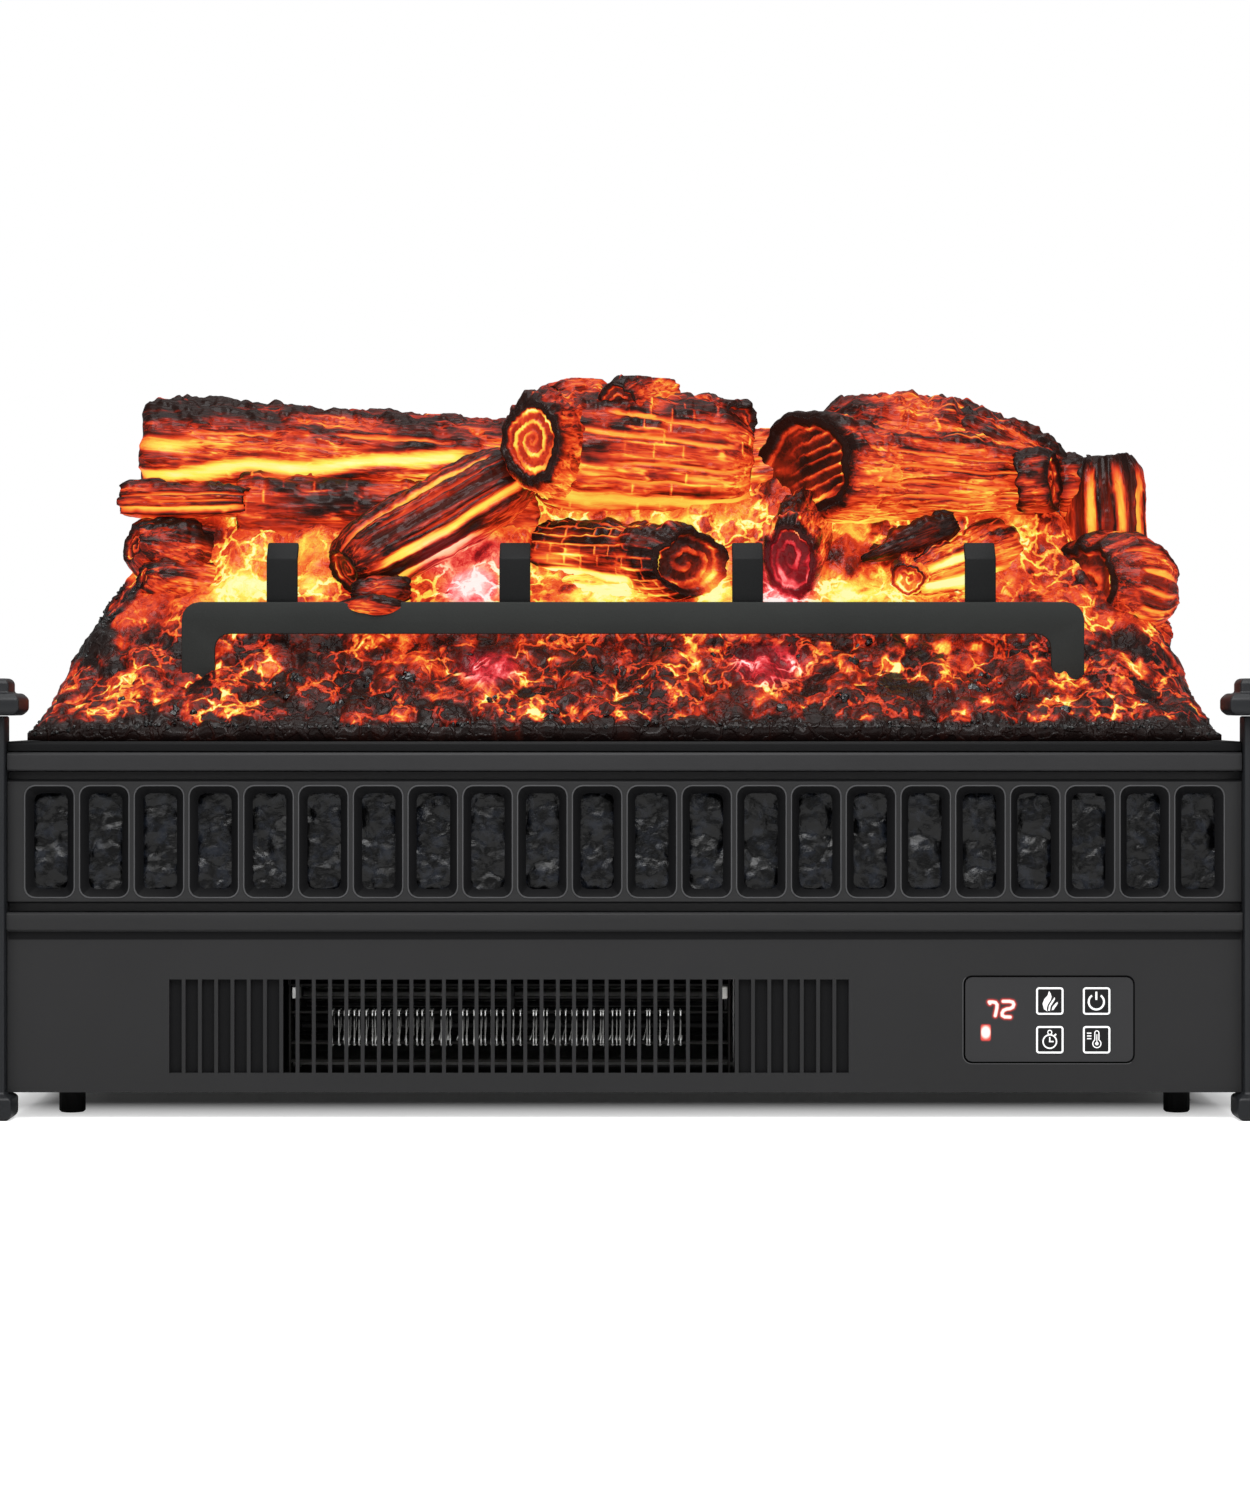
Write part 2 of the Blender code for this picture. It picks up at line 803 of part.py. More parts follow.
def make_heater_frame(parent):
    """Mica frame: two end plates, two strips and the two boards that the wire goes round."""
    bottom = duct_bottom + duct_sheet + fit_gap
    top = duct_top - duct_sheet - fit_gap
    left = grille_left + frame_end_gap
    right = grille_right - frame_end_gap
    back = frame_front + frame_depth
    reach = wire_loop_height / 2 - wire_radius - fit_gap
    half = wire_loop_depth / 2 - wire_loop_corner - wire_radius
    near, far = frame_mid_y - half, frame_mid_y + half
    boards = (
        (bottom + frame_strip_inset, frame_front, back),
        (top - frame_strip_inset, frame_front, back),
        (wire_centre_z - reach, near, far),
        (wire_centre_z + reach - frame_board, near, far),
    )
    bm = bmesh.new()
    fill_box(bm, (left, frame_front, bottom), (left + frame_board, back, top))
    fill_box(bm, (right - frame_board, frame_front, bottom), (right, back, top))
    frame = add_piece("heater_frame", bm, "mica", parent)
    bm = bmesh.new()
    for z, front, rear in boards:
        low = (left + frame_board / 2, front, z)
        high = (right - frame_board / 2, rear, z + frame_board)
        fill_box(bm, low, high)
    boolean(frame, add_cutter("frame_boards", bm), 'UNION')
    return frame


def wire_points():
    """Return the route of the heating wire: flat loops that advance along X."""
    left = grille_left + frame_end_gap + frame_board + wire_end_margin
    right = grille_right - frame_end_gap - frame_board - wire_end_margin
    pitch = (right - left) / wire_loops
    half_y, half_z = wire_loop_depth / 2, wire_loop_height / 2
    cut = wire_loop_corner
    ring = (
        (-half_y, half_z - cut), (-half_y + cut, half_z),
        (half_y - cut, half_z), (half_y, half_z - cut),
        (half_y, -half_z + cut), (half_y - cut, -half_z),
        (-half_y + cut, -half_z), (-half_y, -half_z + cut),
    )
    points = []
    for loop in range(wire_loops):
        for step, (y, z) in enumerate(ring):
            x = left + pitch * (loop + step / len(ring))
            points.append(Vector((x, frame_mid_y + y, wire_centre_z + z)))
    return points


def wire_own_gap(points):
    """Least distance between turns of the wire, less its thickness."""
    least = overall_width
    turn = len(points) // wire_loops
    for i, point in enumerate(points):
        for other in points[i + turn // 2:]:
            least = min(least, (point - other).length)
    return least - 2 * wire_radius


def make_heating_wire(parent):
    """One unbroken resistance wire wound round the mica boards."""
    points = wire_points()
    print("heating wire loops", wire_loops, "least gap to itself mm",
          round(wire_own_gap(points) * 1000, 2))
    curve = bpy.data.curves.new("heating_wire", 'CURVE')
    curve.dimensions = '3D'
    curve.bevel_depth = wire_radius
    curve.bevel_resolution = 1
    curve.use_fill_caps = True
    spline = curve.splines.new('POLY')
    spline.points.add(len(points) - 1)
    for target, point in zip(spline.points, points):
        target.co = (*point, 1.0)
    curve.materials.append(finish("heater_wire"))
    wire = bpy.data.objects.new("heating_wire", curve)
    bpy.context.scene.collection.objects.link(wire)
    wire.parent = parent
    return wire


def make_terminals(parent):
    """Metal clip and ceramic block under the top strip, where the wire's leads end."""
    top = duct_top - duct_sheet - fit_gap - frame_strip_inset - fit_gap
    front = frame_front + fit_gap
    spots = {
        "terminal_clip": (grille_left + frame_end_gap + frame_board + fit_gap, "bare_sheet"),
        "terminal_block": (grille_right - frame_end_gap - frame_board - fit_gap
                           - terminal_width, "white_ceramic"),
    }
    for name, (left, colour) in spots.items():
        bm = bmesh.new()
        low = (left, front, top - terminal_height)
        high = (left + terminal_width, front + terminal_depth, top)
        fill_box(bm, low, high)
        bevel(add_piece(name, bm, colour, parent), edge_bevel / 2)


def make_thermal_cutout(parent):
    """Bimetal overheat cut-out on the roof of the duct."""
    base = duct_top + fit_gap
    profile = (
        (cutout_radius, 0),
        (cutout_radius, cutout_flange),
        (cutout_radius - edge_bevel, cutout_flange),
        (cutout_radius - edge_bevel, cutout_height),
    )
    bm = bmesh.new()
    fill_turned(bm, profile, (0, 0, 0), 'Z', 18)
    place = (slot_centre_x, (inner_front + duct_back) / 2, base)
    return add_piece("thermal_cutout", bm, "white_plastic", parent, place)


# Blower

def scroll_outline():
    """Return the (y, z) outline of the scroll wall, a spiral of even thickness."""
    inner, outer = [], []
    for i in range(scroll_steps + 1):
        turn = i / scroll_steps
        angle = math.pi * (turn * scroll_sweep_share - 0.5)
        radius = scroll_inner + scroll_growth * (1 - turn)
        y, z = math.cos(angle), math.sin(angle)
        inner.append((blower_axis_y + radius * y, blower_axis_z + radius * z))
        outer.append((blower_axis_y + (radius + scroll_sheet) * y,
                      blower_axis_z + (radius + scroll_sheet) * z))
    mouth_y = duct_back + fit_gap
    lowest = inner[0][1]
    inner.insert(0, (mouth_y, lowest))
    outer.insert(0, (mouth_y, lowest - scroll_sheet))
    return outer + inner[::-1]


def make_scroll(parent):
    """Blower scroll: spiral wall between two end plates, open above for the intake."""
    bm = bmesh.new()
    fill_prism_x(bm, scroll_outline(), scroll_left, scroll_right)
    scroll = add_piece("blower_scroll", bm, "bare_sheet", parent)

    radius = scroll_inner + scroll_growth + scroll_sheet
    front = duct_back + fit_gap
    rear = blower_axis_y + radius
    top = blower_axis_z + scroll_inner + scroll_sheet
    chamfer = scroll_growth
    outline = (
        (front, floor_seat), (rear, floor_seat), (rear, top - chamfer),
        (rear - chamfer, top), (front, top),
    )
    bm = bmesh.new()
    half = scroll_sheet / 2
    fill_prism_x(bm, outline, scroll_left - half, scroll_left + half)
    fill_prism_x(bm, outline, scroll_right - half, scroll_right + half)
    boolean(scroll, add_cutter("scroll_ends", bm), 'UNION')

    bm = bmesh.new()
    bore = bush_radius + fit_gap
    for x in (scroll_left, scroll_right):
        profile = ((bore, -cut_overrun / 2), (bore, cut_overrun / 2))
        fill_turned(bm, profile, (x, blower_axis_y, blower_axis_z), 'X', 16)
    boolean(scroll, add_cutter("scroll_bores", bm))
    return scroll


def blade_outline(angle):
    """Return the (y, z) outline of one curved blade at its angle round the wheel."""
    inner = wheel_radius - blade_chord
    outer = wheel_radius - blade_thickness
    rows = []
    for side in (-1, 1):
        row = []
        for step in range(3):
            share = step / 2
            radius = inner + (outer - inner) * share
            bow = blade_camber * 4 * share * (1 - share) + side * blade_thickness / 2
            out = (math.cos(angle), math.sin(angle))
            along = (-math.sin(angle), math.cos(angle))
            row.append((radius * out[0] + bow * along[0], radius * out[1] + bow * along[1]))
        rows.append(row)
    return rows[0] + rows[1][::-1]


def make_wheel(parent):
    """Cross flow wheel: curved blades between end discs and a middle disc."""
    left, right = wheel_left - slot_centre_x, wheel_right - slot_centre_x
    half = wheel_disc / 2
    bm = bmesh.new()
    profile = ((wheel_radius, left), (wheel_radius, left + wheel_disc))
    fill_turned(bm, profile, (0, 0, 0), 'X', 18)
    place = (slot_centre_x, blower_axis_y, blower_axis_z)
    wheel = add_piece("blower_wheel", bm, "black_gloss", parent, place)

    bm = bmesh.new()
    for i in range(wheel_blades):
        outline = blade_outline(2 * math.pi * i / wheel_blades)
        loft(bm, [[(slot_centre_x + x, blower_axis_y + y, blower_axis_z + z)
                   for y, z in outline] for x in (left + half, right - half)])
    boolean(wheel, add_cutter("wheel_blades", bm), 'UNION')

    bm = bmesh.new()
    for along in ((right - wheel_disc, right), (-half, half)):
        profile = ((wheel_radius, along[0]), (wheel_radius, along[1]))
        fill_turned(bm, profile, place, 'X', 18)
    boolean(wheel, add_cutter("wheel_discs", bm), 'UNION')

    bm = bmesh.new()
    bore = shaft_radius + fit_gap
    reach = wheel_right - wheel_left
    profile = ((bore, -reach), (bore, reach))
    fill_turned(bm, profile, place, 'X', 12)
    boolean(wheel, add_cutter("wheel_bore", bm))
    return wheel


def make_shaft(parent):
    """Steel shaft through the wheel and the motor."""
    left = scroll_left - bush_length / 2
    right = motor_right + bracket_sheet + motor_gap + bush_length / 2
    profile = (
        (shaft_radius - edge_bevel / 2, left - slot_centre_x),
        (shaft_radius, left + edge_bevel / 2 - slot_centre_x),
        (shaft_radius, right - edge_bevel / 2 - slot_centre_x),
        (shaft_radius - edge_bevel / 2, right - slot_centre_x),
    )
    bm = bmesh.new()
    fill_turned(bm, profile, (0, 0, 0), 'X', 12)
    place = (slot_centre_x, blower_axis_y, blower_axis_z)
    return add_piece("blower_shaft", bm, "bare_sheet", parent, place, smooth=True)


def make_bush(parent):
    """Plain bearing bush in the far end plate of the scroll."""
    bm = bmesh.new()
    half = bush_length / 2
    profile = ((bush_radius, -half), (bush_radius, half))
    fill_turned(bm, profile, (0, 0, 0), 'X', 16)
    place = (scroll_left, blower_axis_y, blower_axis_z)
    bush = add_piece("bearing_bush", bm, "copper_coil", parent, place)
    bm = bmesh.new()
    bore = shaft_radius + fit_gap
    profile = ((bore, -bush_length), (bore, bush_length))
    fill_turned(bm, profile, place, 'X', 12)
    boolean(bush, add_cutter("bush_bore", bm))
    return bush


def make_stator(parent):
    """Lamination stack with the rotor bore and the coil window."""
    half = stator_width / 2
    low = blower_axis_z - stator_bottom_reach
    high = blower_axis_z + stator_top_reach
    bm = bmesh.new()
    fill_box(bm, (motor_left, blower_axis_y - half, low), (motor_right, blower_axis_y + half, high))
    stator = add_piece("motor_stator", bm, "lamination", parent)
    bm = bmesh.new()
    bore = rotor_radius + rotor_air_gap
    middle = (motor_left + motor_right) / 2
    profile = ((bore, -stator_length), (bore, stator_length))
    fill_turned(bm, profile, (middle, blower_axis_y, blower_axis_z), 'X', 16)
    boolean(stator, add_cutter("rotor_bore", bm))
    bm = bmesh.new()
    roof = blower_axis_z - rotor_radius - rotor_air_gap - coil_wall / 2
    low = (motor_left - cut_overrun, blower_axis_y - coil_window_width / 2,
           roof - coil_window_height)
    high = (motor_right + cut_overrun, blower_axis_y + coil_window_width / 2, roof)
    fill_box(bm, low, high)
    boolean(stator, add_cutter("coil_window", bm))
    return stator


def make_coil(parent):
    """Motor coil round the lower leg of the stator."""
    roof = blower_axis_z - rotor_radius - rotor_air_gap - coil_wall / 2
    leg_top = roof - coil_window_height
    leg_bottom = blower_axis_z - stator_bottom_reach
    half = coil_window_width / 2 - fit_gap
    bm = bmesh.new()
    low = (motor_left - coil_wall, blower_axis_y - half, leg_bottom - coil_wall)
    high = (motor_right + coil_wall, blower_axis_y + half, leg_top + coil_wall)
    fill_box(bm, low, high)
    coil = add_piece("motor_coil", bm, "copper_coil", parent)
    bm = bmesh.new()
    low = (motor_left - fit_gap, blower_axis_y - stator_width, leg_bottom - fit_gap)
    high = (motor_right + fit_gap, blower_axis_y + stator_width, leg_top + fit_gap)
    fill_box(bm, low, high)
    boolean(coil, add_cutter("coil_bore", bm))
    return coil


def make_rotor(parent):
    """Squirrel cage rotor on the shaft."""
    middle = (motor_left + motor_right) / 2
    half = stator_length / 2
    bm = bmesh.new()
    profile = ((rotor_radius, -half), (rotor_radius, half))
    fill_turned(bm, profile, (0, 0, 0), 'X', 16)
    place = (middle, blower_axis_y, blower_axis_z)
    rotor = add_piece("motor_rotor", bm, "lamination", parent, place)
    bm = bmesh.new()
    bore = shaft_radius + fit_gap
    profile = ((bore, -stator_length), (bore, stator_length))
    fill_turned(bm, profile, place, 'X', 12)
    boolean(rotor, add_cutter("rotor_shaft_bore", bm))
    return rotor


def make_motor_bracket(parent):
    """Bearing bracket on the outer face of the motor, standing on the pan."""
    near = motor_right + fit_gap
    arm = near + motor_gap
    half = stator_width / 2
    low = blower_axis_z - bracket_width / 2
    high = blower_axis_z + bracket_width / 2
    outline = (
        (-half, near), (-half + bracket_sheet, near), (-half + bracket_sheet, arm),
        (half - bracket_sheet, arm), (half - bracket_sheet, near), (half, near),
        (half, arm + bracket_sheet), (-half, arm + bracket_sheet),
    )
    bm = bmesh.new()
    loft(bm, [[(x, blower_axis_y + y, z) for y, x in outline] for z in (low, high)])
    bracket = add_piece("motor_bracket", bm, "bare_sheet", parent)
    bm = bmesh.new()
    low_leg = (arm, blower_axis_y - bracket_width / 2, floor_seat)
    high_leg = (arm + bracket_sheet, blower_axis_y + bracket_width / 2, blower_axis_z)
    fill_box(bm, low_leg, high_leg)
    boolean(bracket, add_cutter("bracket_leg", bm), 'UNION')
    bm = bmesh.new()
    bore = shaft_radius + fit_gap
    profile = ((bore, -cut_overrun), (bore, cut_overrun))
    fill_turned(bm, profile, (arm, blower_axis_y, blower_axis_z), 'X', 12)
    boolean(bracket, add_cutter("bracket_bore", bm))
    return bracket


# Control panel

def panel_spots():
    """Return the centre and size of each hole in the panel."""
    row = key_row_pitch / 2
    left = panel_centre_x + key_column_offset
    right = left + key_column_pitch
    high = panel_centre_z - key_row_drop + row
    low = panel_centre_z - key_row_drop - row
    return {
        "key_flame": (left, high, key_size, key_size),
        "key_power": (right, high, key_size, key_size),
        "key_timer": (left, low, key_size, key_size),
        "key_thermostat": (right, low, key_size, key_size),
        "display_window": (panel_centre_x + display_offset_x,
                           panel_centre_z + display_offset_z, display_width, display_height),
        "indicator_lens": (panel_centre_x + lens_offset_x,
                           panel_centre_z + lens_offset_z, lens_width, lens_height),
    }


def make_control_panel(parent):
    """Gloss black panel plate that carries the keys, display and indicator."""
    front = fascia_front - panel_proud
    bm = bmesh.new()
    outline = rounded_outline(panel_width - 2 * fit_gap, panel_height - 2 * fit_gap,
                              panel_corner, 3, (panel_centre_x, panel_centre_z))
    fill_prism_y(bm, outline, front, front + panel_thickness)
    panel = add_piece("control_panel", bm, "black_gloss", parent)
    bm = bmesh.new()
    for x, z, width, height in panel_spots().values():
        outline = rounded_outline(width + 2 * fit_gap, height + 2 * fit_gap, key_corner, 2, (x, z))
        fill_prism_y(bm, outline, front - cut_overrun, front + panel_thickness + cut_overrun)
    boolean(panel, add_cutter("panel_holes", bm))
    return panel


def make_panel_inserts(parent):
    """Four keys, the display pane and the indicator lens."""
    front = fascia_front - panel_proud
    for name, (x, z, width, height) in panel_spots().items():
        is_key = name.startswith("key")
        thickness = key_thickness if is_key else window_pane_thickness
        proud = key_proud if is_key else 0
        colour = "red_lens" if name == "indicator_lens" else "black_gloss"
        bm = bmesh.new()
        outline = rounded_outline(width, height, key_corner, 2)
        fill_prism_y(bm, outline, -proud, thickness - proud)
        owner = parent
        if is_key:
            owner = group(name + "_body", (x, front, z))
        add_piece(name, bm, colour, owner, (x, front, z))


def make_control_board(parent):
    """Circuit board behind the panel, with spacers that reach the panel's back."""
    back = fascia_front - panel_proud + panel_thickness
    front = back + fit_gap
    face = front + board_gap
    half = panel_width / 2 - board_margin
    low = panel_centre_z - panel_height / 2 + board_margin
    high = panel_centre_z + panel_height / 2 - board_margin
    foot = board_margin / 2
    left, right = panel_centre_x - half, panel_centre_x + half
    outline = (
        (left, front), (left + foot, front), (left + foot, face), (right - foot, face),
        (right - foot, front), (right, front), (right, face + board_thickness),
        (left, face + board_thickness),
    )
    bm = bmesh.new()
    loft(bm, [[(x, y, z) for x, y in outline] for z in (low, high)])
    return add_piece("control_board", bm, "circuit_board", parent)


def make_power_board(parent):
    """Power board on two stands, with its relay and capacitor."""
    base = floor_seat
    board = base + power_board_stand
    top = board + board_thickness
    half = power_board_length / 2
    stand = board_margin
    relay_left = -half + 2 * stand
    capacitor_left = half - 2 * stand - capacitor_length
    outline = (
        (-half, base), (-half + stand, base), (-half + stand, board), (half - stand, board),
        (half - stand, base), (half, base), (half, top),
        (capacitor_left + capacitor_length, top),
        (capacitor_left + capacitor_length, top + capacitor_height),
        (capacitor_left, top + capacitor_height), (capacitor_left, top),
        (relay_left + relay_length, top), (relay_left + relay_length, top + relay_height),
        (relay_left, top + relay_height), (relay_left, top), (-half, top),
    )
    near = power_board_centre_y - power_board_width / 2
    far = power_board_centre_y + power_board_width / 2
    bm = bmesh.new()
    shifted = [(power_board_centre_x + x, z) for x, z in outline]
    fill_prism_y(bm, shifted, near, far)
    return add_piece("power_board", bm, "circuit_board", parent)


# Ember bed, logs and lights

def interpolate(pairs, value):
    """Straight interpolation in a table of (position, result) pairs."""
    for (x0, y0), (x1, y1) in zip(pairs, pairs[1:]):
        if value <= x1:
            return y0 + (y1 - y0) * (value - x0) / (x1 - x0)
    return pairs[-1][1]


def bed_height(x, y):
    """Height of the ember surface over the deck, without its lumps."""
    depth_share = (y - bed_front) / (bed_back - bed_front)
    rise = interpolate(bed_profile_shares, depth_share)
    edge_share = (bed_half - abs(x)) / (2 * bed_half)
    shoulder = min(rise, bed_shoulder_share) * interpolate(bed_side_profile_shares, edge_share)
    crest = max(rise - bed_shoulder_share, 0) * interpolate(bed_crest_side_shares, edge_share)
    return max(bed_wall / 2, pile_height * (shoulder + crest))


def bed_rows_run():
    """Rows of the bed as (distance along the slope, depth share), evenly spaced."""
    run = 0
    table = []
    before = bed_profile_shares[0]
    for pair in bed_profile_shares:
        forward = (pair[0] - before[0]) * (bed_back - bed_front)
        run += math.hypot(forward, (pair[1] - before[1]) * pile_height)
        table.append((run, pair[0]))
        before = pair
    places = [run * row / bed_rows for row in range(bed_rows + 1)]
    return [(place, interpolate(table, place)) for place in places]


def bed_mound(x, run):
    """Rise or dip of the main coal mounds, which stand in staggered rows."""
    wave = math.cos(2 * math.pi * x / bed_mound_pitch) * math.cos(math.pi * run / bed_mound_pitch)
    swell = 1 + bed_mound_swell_share * math.sin(x / bed_mound_pitch + 2 * run / bed_mound_pitch)
    return bed_mound_height * wave * swell


def bed_slope(y):
    """Sine of the ember surface's climb at a depth, zero where it falls."""
    step = (bed_back - bed_front) / bed_rows / 2
    climb = bed_height(0, y + step) - bed_height(0, y - step)
    return max(0, climb) / math.hypot(2 * step, climb)


def split_quads(bm):
    """Split bent quads the same way in a piece and in its grown cutting copy."""
    quads = [face for face in bm.faces if len(face.verts) == 4]
    bmesh.ops.triangulate(bm, faces=quads, quad_method='FIXED')


def fill_bed(bm, lift):
    """Closed height field of the ember bed, raised by a lift for the cutting copy."""
    grown = 1 + lift / bed_half
    rows = []
    for run, share in bed_rows_run():
        y = bed_front + (bed_back - bed_front) * share
        lean = bed_slope(y) * bed_mound_lean_share
        row = []
        for column in range(bed_columns + 1):
            x = -bed_half + 2 * bed_half * column / bed_columns
            inner = 0 < column < bed_columns and 0 < share < 1
            mound = bed_mound(x, run) if inner else 0
            top = max(bed_height(x, y) + mound, bed_wall / 2)
            row.append((x * grown, (y - lean * mound) * grown, bed_base + top + lift))
        rows.append(row)
    top_verts = [[bm.verts.new(point) for point in row] for row in rows]
    for lower, upper in zip(top_verts, top_verts[1:]):
        for i in range(bed_columns):
            bm.faces.new((lower[i], lower[i + 1], upper[i + 1], upper[i]))
    border = [edge for edge in bm.edges if edge.is_boundary]
    made = bmesh.ops.extrude_edge_only(bm, edges=border)
    for item in made["geom"]:
        if isinstance(item, bmesh.types.BMVert):
            item.co.z = bed_base - lift
    rim = [edge for edge in bm.edges if edge.is_boundary]
    bmesh.ops.contextual_create(bm, geom=rim)
    split_quads(bm)


def make_ember_bed(parent):
    """Translucent ember moulding with a hollow for the lights under it."""
    bm = bmesh.new()
    fill_bed(bm, 0)
    bed = add_piece("ember_bed", bm, "ember_resin", parent)

    bm = bmesh.new()
    loops = []
    for side, near_share, far_share, rise in bed_hollow_shares:
        half = bed_half * side
        near = bed_front + (bed_back - bed_front) * near_share
        far = bed_front + (bed_back - bed_front) * far_share
        z = bed_base + pile_height * rise
        loops.append([(-half, near, z), (half, near, z), (half, far, z), (-half, far, z)])
    loft(bm, loops)
    boolean(bed, add_cutter("bed_hollow", bm))

    bm = bmesh.new()
    for left in (grate_left, grate_right - grate_leg_width):
        low = (left - fit_gap, grate_plane_y - fit_gap, grate_leg_foot - fit_gap)
        high = (left + grate_leg_width + fit_gap, grate_plane_y + grate_thickness + fit_gap,
                grate_bar_top)
        fill_box(bm, low, high)
    boolean(bed, add_cutter("grate_sockets", bm))
    return bed


def fill_log(bm, length, radii, ridges, twist, grow):
    """Ridged and tapered log along X, ends chamfered and dished, grown by a clearance."""
    start_radius, end_radius = radii
    half = length / 2
    chamfer = log_end_chamfer_share * log_radius
    dish = log_end_dish_share * log_radius

    def ring(x, share, scale):
        base = start_radius + (end_radius - start_radius) * share
        swell = 1 + log_swell_share * math.sin(math.pi * (3 * share + ridges))
        loop = []
        for j in range(log_segments):
            angle = 2 * math.pi * j / log_segments
            wave = math.cos(ridges * angle + 2 * math.pi * twist * ridges * share)
            radius = base * swell * scale * (1 + log_ridge_share * wave) + grow
            loop.append((x, radius * math.cos(angle), radius * math.sin(angle)))
        return loop

    loops = [ring(-half - grow + dish, 0, log_end_core_share),
             ring(-half - grow, 0, log_end_rim_share)]
    for i in range(log_rings + 1):
        share = i / log_rings
        x = -half + chamfer + (length - 2 * chamfer) * share
        loops.append(ring(x, share, 1.0))
    loops += [ring(half + grow, 1, log_end_rim_share),
              ring(half + grow - dish, 1, log_end_core_share)]
    loft(bm, loops)
    split_quads(bm)


def log_ends(name):
    """Return the two axis ends of a log in metres."""
    scale = Vector((half_width, half_depth, pile_height))
    ends = []
    for share in log_table_shares[name][:2]:
        ends.append(Vector([share[i] * scale[i] for i in range(3)]) + Vector((0, 0, deck_top)))
    return ends


def place_log(obj, name):
    """Turn and move a log so that it runs between its two ends."""
    start, end = log_ends(name)
    obj.rotation_mode = 'QUATERNION'
    obj.rotation_quaternion = (end - start).to_track_quat('X', 'Z')
    obj.location = (start + end) / 2


def make_logs(parent, bed_cutter):
    """All logs; each is cut to seat on the bed and on the logs before it."""
    earlier = [bed_cutter]
    for name, entry in log_table_shares.items():
        start_share, end_share, ridges, twist = entry[2:]
        start, end = log_ends(name)
        length = (end - start).length
        radii = (start_share * log_radius, end_share * log_radius)
        bm = bmesh.new()
        fill_log(bm, length, radii, ridges, twist, 0)
        log = add_piece(name, bm, "log_resin", parent)
        place_log(log, name)
        for cutter in earlier:
            boolean(log, cutter)
        bm = bmesh.new()
        fill_log(bm, length, radii, ridges, twist, fit_gap * 1.5)
        cutter = add_cutter(name + "_seat", bm)
        place_log(cutter, name)
        earlier.append(cutter)


def make_bed_cutter():
    """Grown copy of the ember bed that the logs are seated with."""
    bm = bmesh.new()
    fill_bed(bm, fit_gap * 2)
    return add_cutter("bed_seat", bm)


def make_led_boards(parent):
    """Two light boards on the deck under the ember moulding."""
    half = bed_half * led_board_length_share
    base = bed_base
    top = base + board_thickness
    pitch = 2 * half / led_count
    outline = [(-half, base), (half, base), (half, top)]
    for i in reversed(range(led_count)):
        x = -half + pitch * (i + 0.5)
        outline += [(x + led_size / 2, top), (x + led_size / 2, top + led_height),
                    (x - led_size / 2, top + led_height), (x - led_size / 2, top)]
    outline.append((-half, top))
    places = {"led_board_front": led_front_board_share, "led_board_rear": led_rear_board_share}
    for name, share in places.items():
        y = bed_front + (bed_back - bed_front) * share
        bm = bmesh.new()
        fill_prism_y(bm, outline, y - led_board_width / 2, y + led_board_width / 2)
        add_piece(name, bm, "white_plastic", parent)


# Grate

def corner_arc(centre, radius, start, end):
    """Return the points of an arc; angles are in quarter turns."""
    points = []
    for i in range(grate_corner_segments + 1):
        angle = math.pi / 2 * (start + (end - start) * i / grate_corner_segments)
        points.append((centre[0] + radius * math.cos(angle), centre[1] + radius * math.sin(angle)))
    return points


def make_grate_frame(parent):
    """Flat steel grate front: a bar with two legs in one plate."""
    left, right, top = grate_left, grate_right, grate_bar_top
    under = top - grate_bar_height
    outer, inner = grate_outer_corner, grate_inner_corner
    in_left, in_right = left + grate_leg_width, right - grate_leg_width
    outline = [(left, grate_leg_foot)]
    outline += corner_arc((left + outer, top - outer), outer, 2, 1)
    outline += corner_arc((right - outer, top - outer), outer, 1, 0)
    outline += [(right, grate_leg_foot), (in_right, grate_leg_foot)]
    outline += corner_arc((in_right - inner, under - inner), inner, 0, 1)
    outline += corner_arc((in_left + inner, under - inner), inner, 1, 2)
    outline.append((in_left, grate_leg_foot))
    bm = bmesh.new()
    fill_prism_y(bm, outline, grate_plane_y, grate_plane_y + grate_thickness)
    return add_piece("grate_frame", bm, "grate_paint", parent)


def make_tines(parent):
    """Four upright tines behind the bar, their tips bent back."""
    front = grate_plane_y + grate_thickness + fit_gap
    low = grate_bar_top - tine_lap
    bend = tine_top - tine_bend
    drop = tine_thickness * math.tan(math.pi / 8)
    outline = (
        (0, 0),
        (tine_thickness, 0),
        (tine_thickness, bend - low - drop),
        (tine_thickness + tine_bend - drop, tine_top - low - 2 * drop),
        (tine_bend, tine_top - low),
        (0, bend - low),
    )
    for i in range(tine_count):
        bm = bmesh.new()
        fill_prism_x(bm, outline, -tine_width / 2, tine_width / 2)
        share = tine_first_share + i * tine_pitch_share
        place = (grate_left + (grate_right - grate_left) * share, front, low)
        add_piece("grate_tine_%d" % (i + 1), bm, "grate_paint", parent, place)


def build():
    """Make every piece, body by body."""
    clear_scene()
    housing = group("housing")
    make_housing_pan(housing)
    make_lower_fascia(housing)
    make_window_fascia(housing)
    make_upper_rail(housing)
    make_coal_insert(housing)
    make_top_deck(housing)
    make_rear_cover(housing)
    make_cord_gland(housing)
    for name, side in (("left", -1), ("right", 1)):
        make_post("post_" + name, side, housing)
        make_finial("finial_" + name, side, housing)
    make_rubber_feet(housing)

    make_air_duct(housing)
    make_heater_frame(housing)
    make_heating_wire(housing)
    make_terminals(housing)
    make_thermal_cutout(housing)

    make_scroll(housing)
    make_bush(housing)
    make_stator(housing)
    make_coil(housing)
    make_motor_bracket(housing)
    rotor = group("blower_rotor", (slot_centre_x, blower_axis_y, blower_axis_z))
    make_wheel(rotor)
    make_shaft(rotor)
    make_rotor(rotor)

    make_control_panel(housing)
    make_panel_inserts(housing)
    make_control_board(housing)
    make_power_board(housing)

    make_ember_bed(housing)
    make_led_boards(housing)
    make_logs(housing, make_bed_cutter())
    make_grate_frame(housing)
    make_tines(housing)
    bpy.context.view_layer.update()


build()
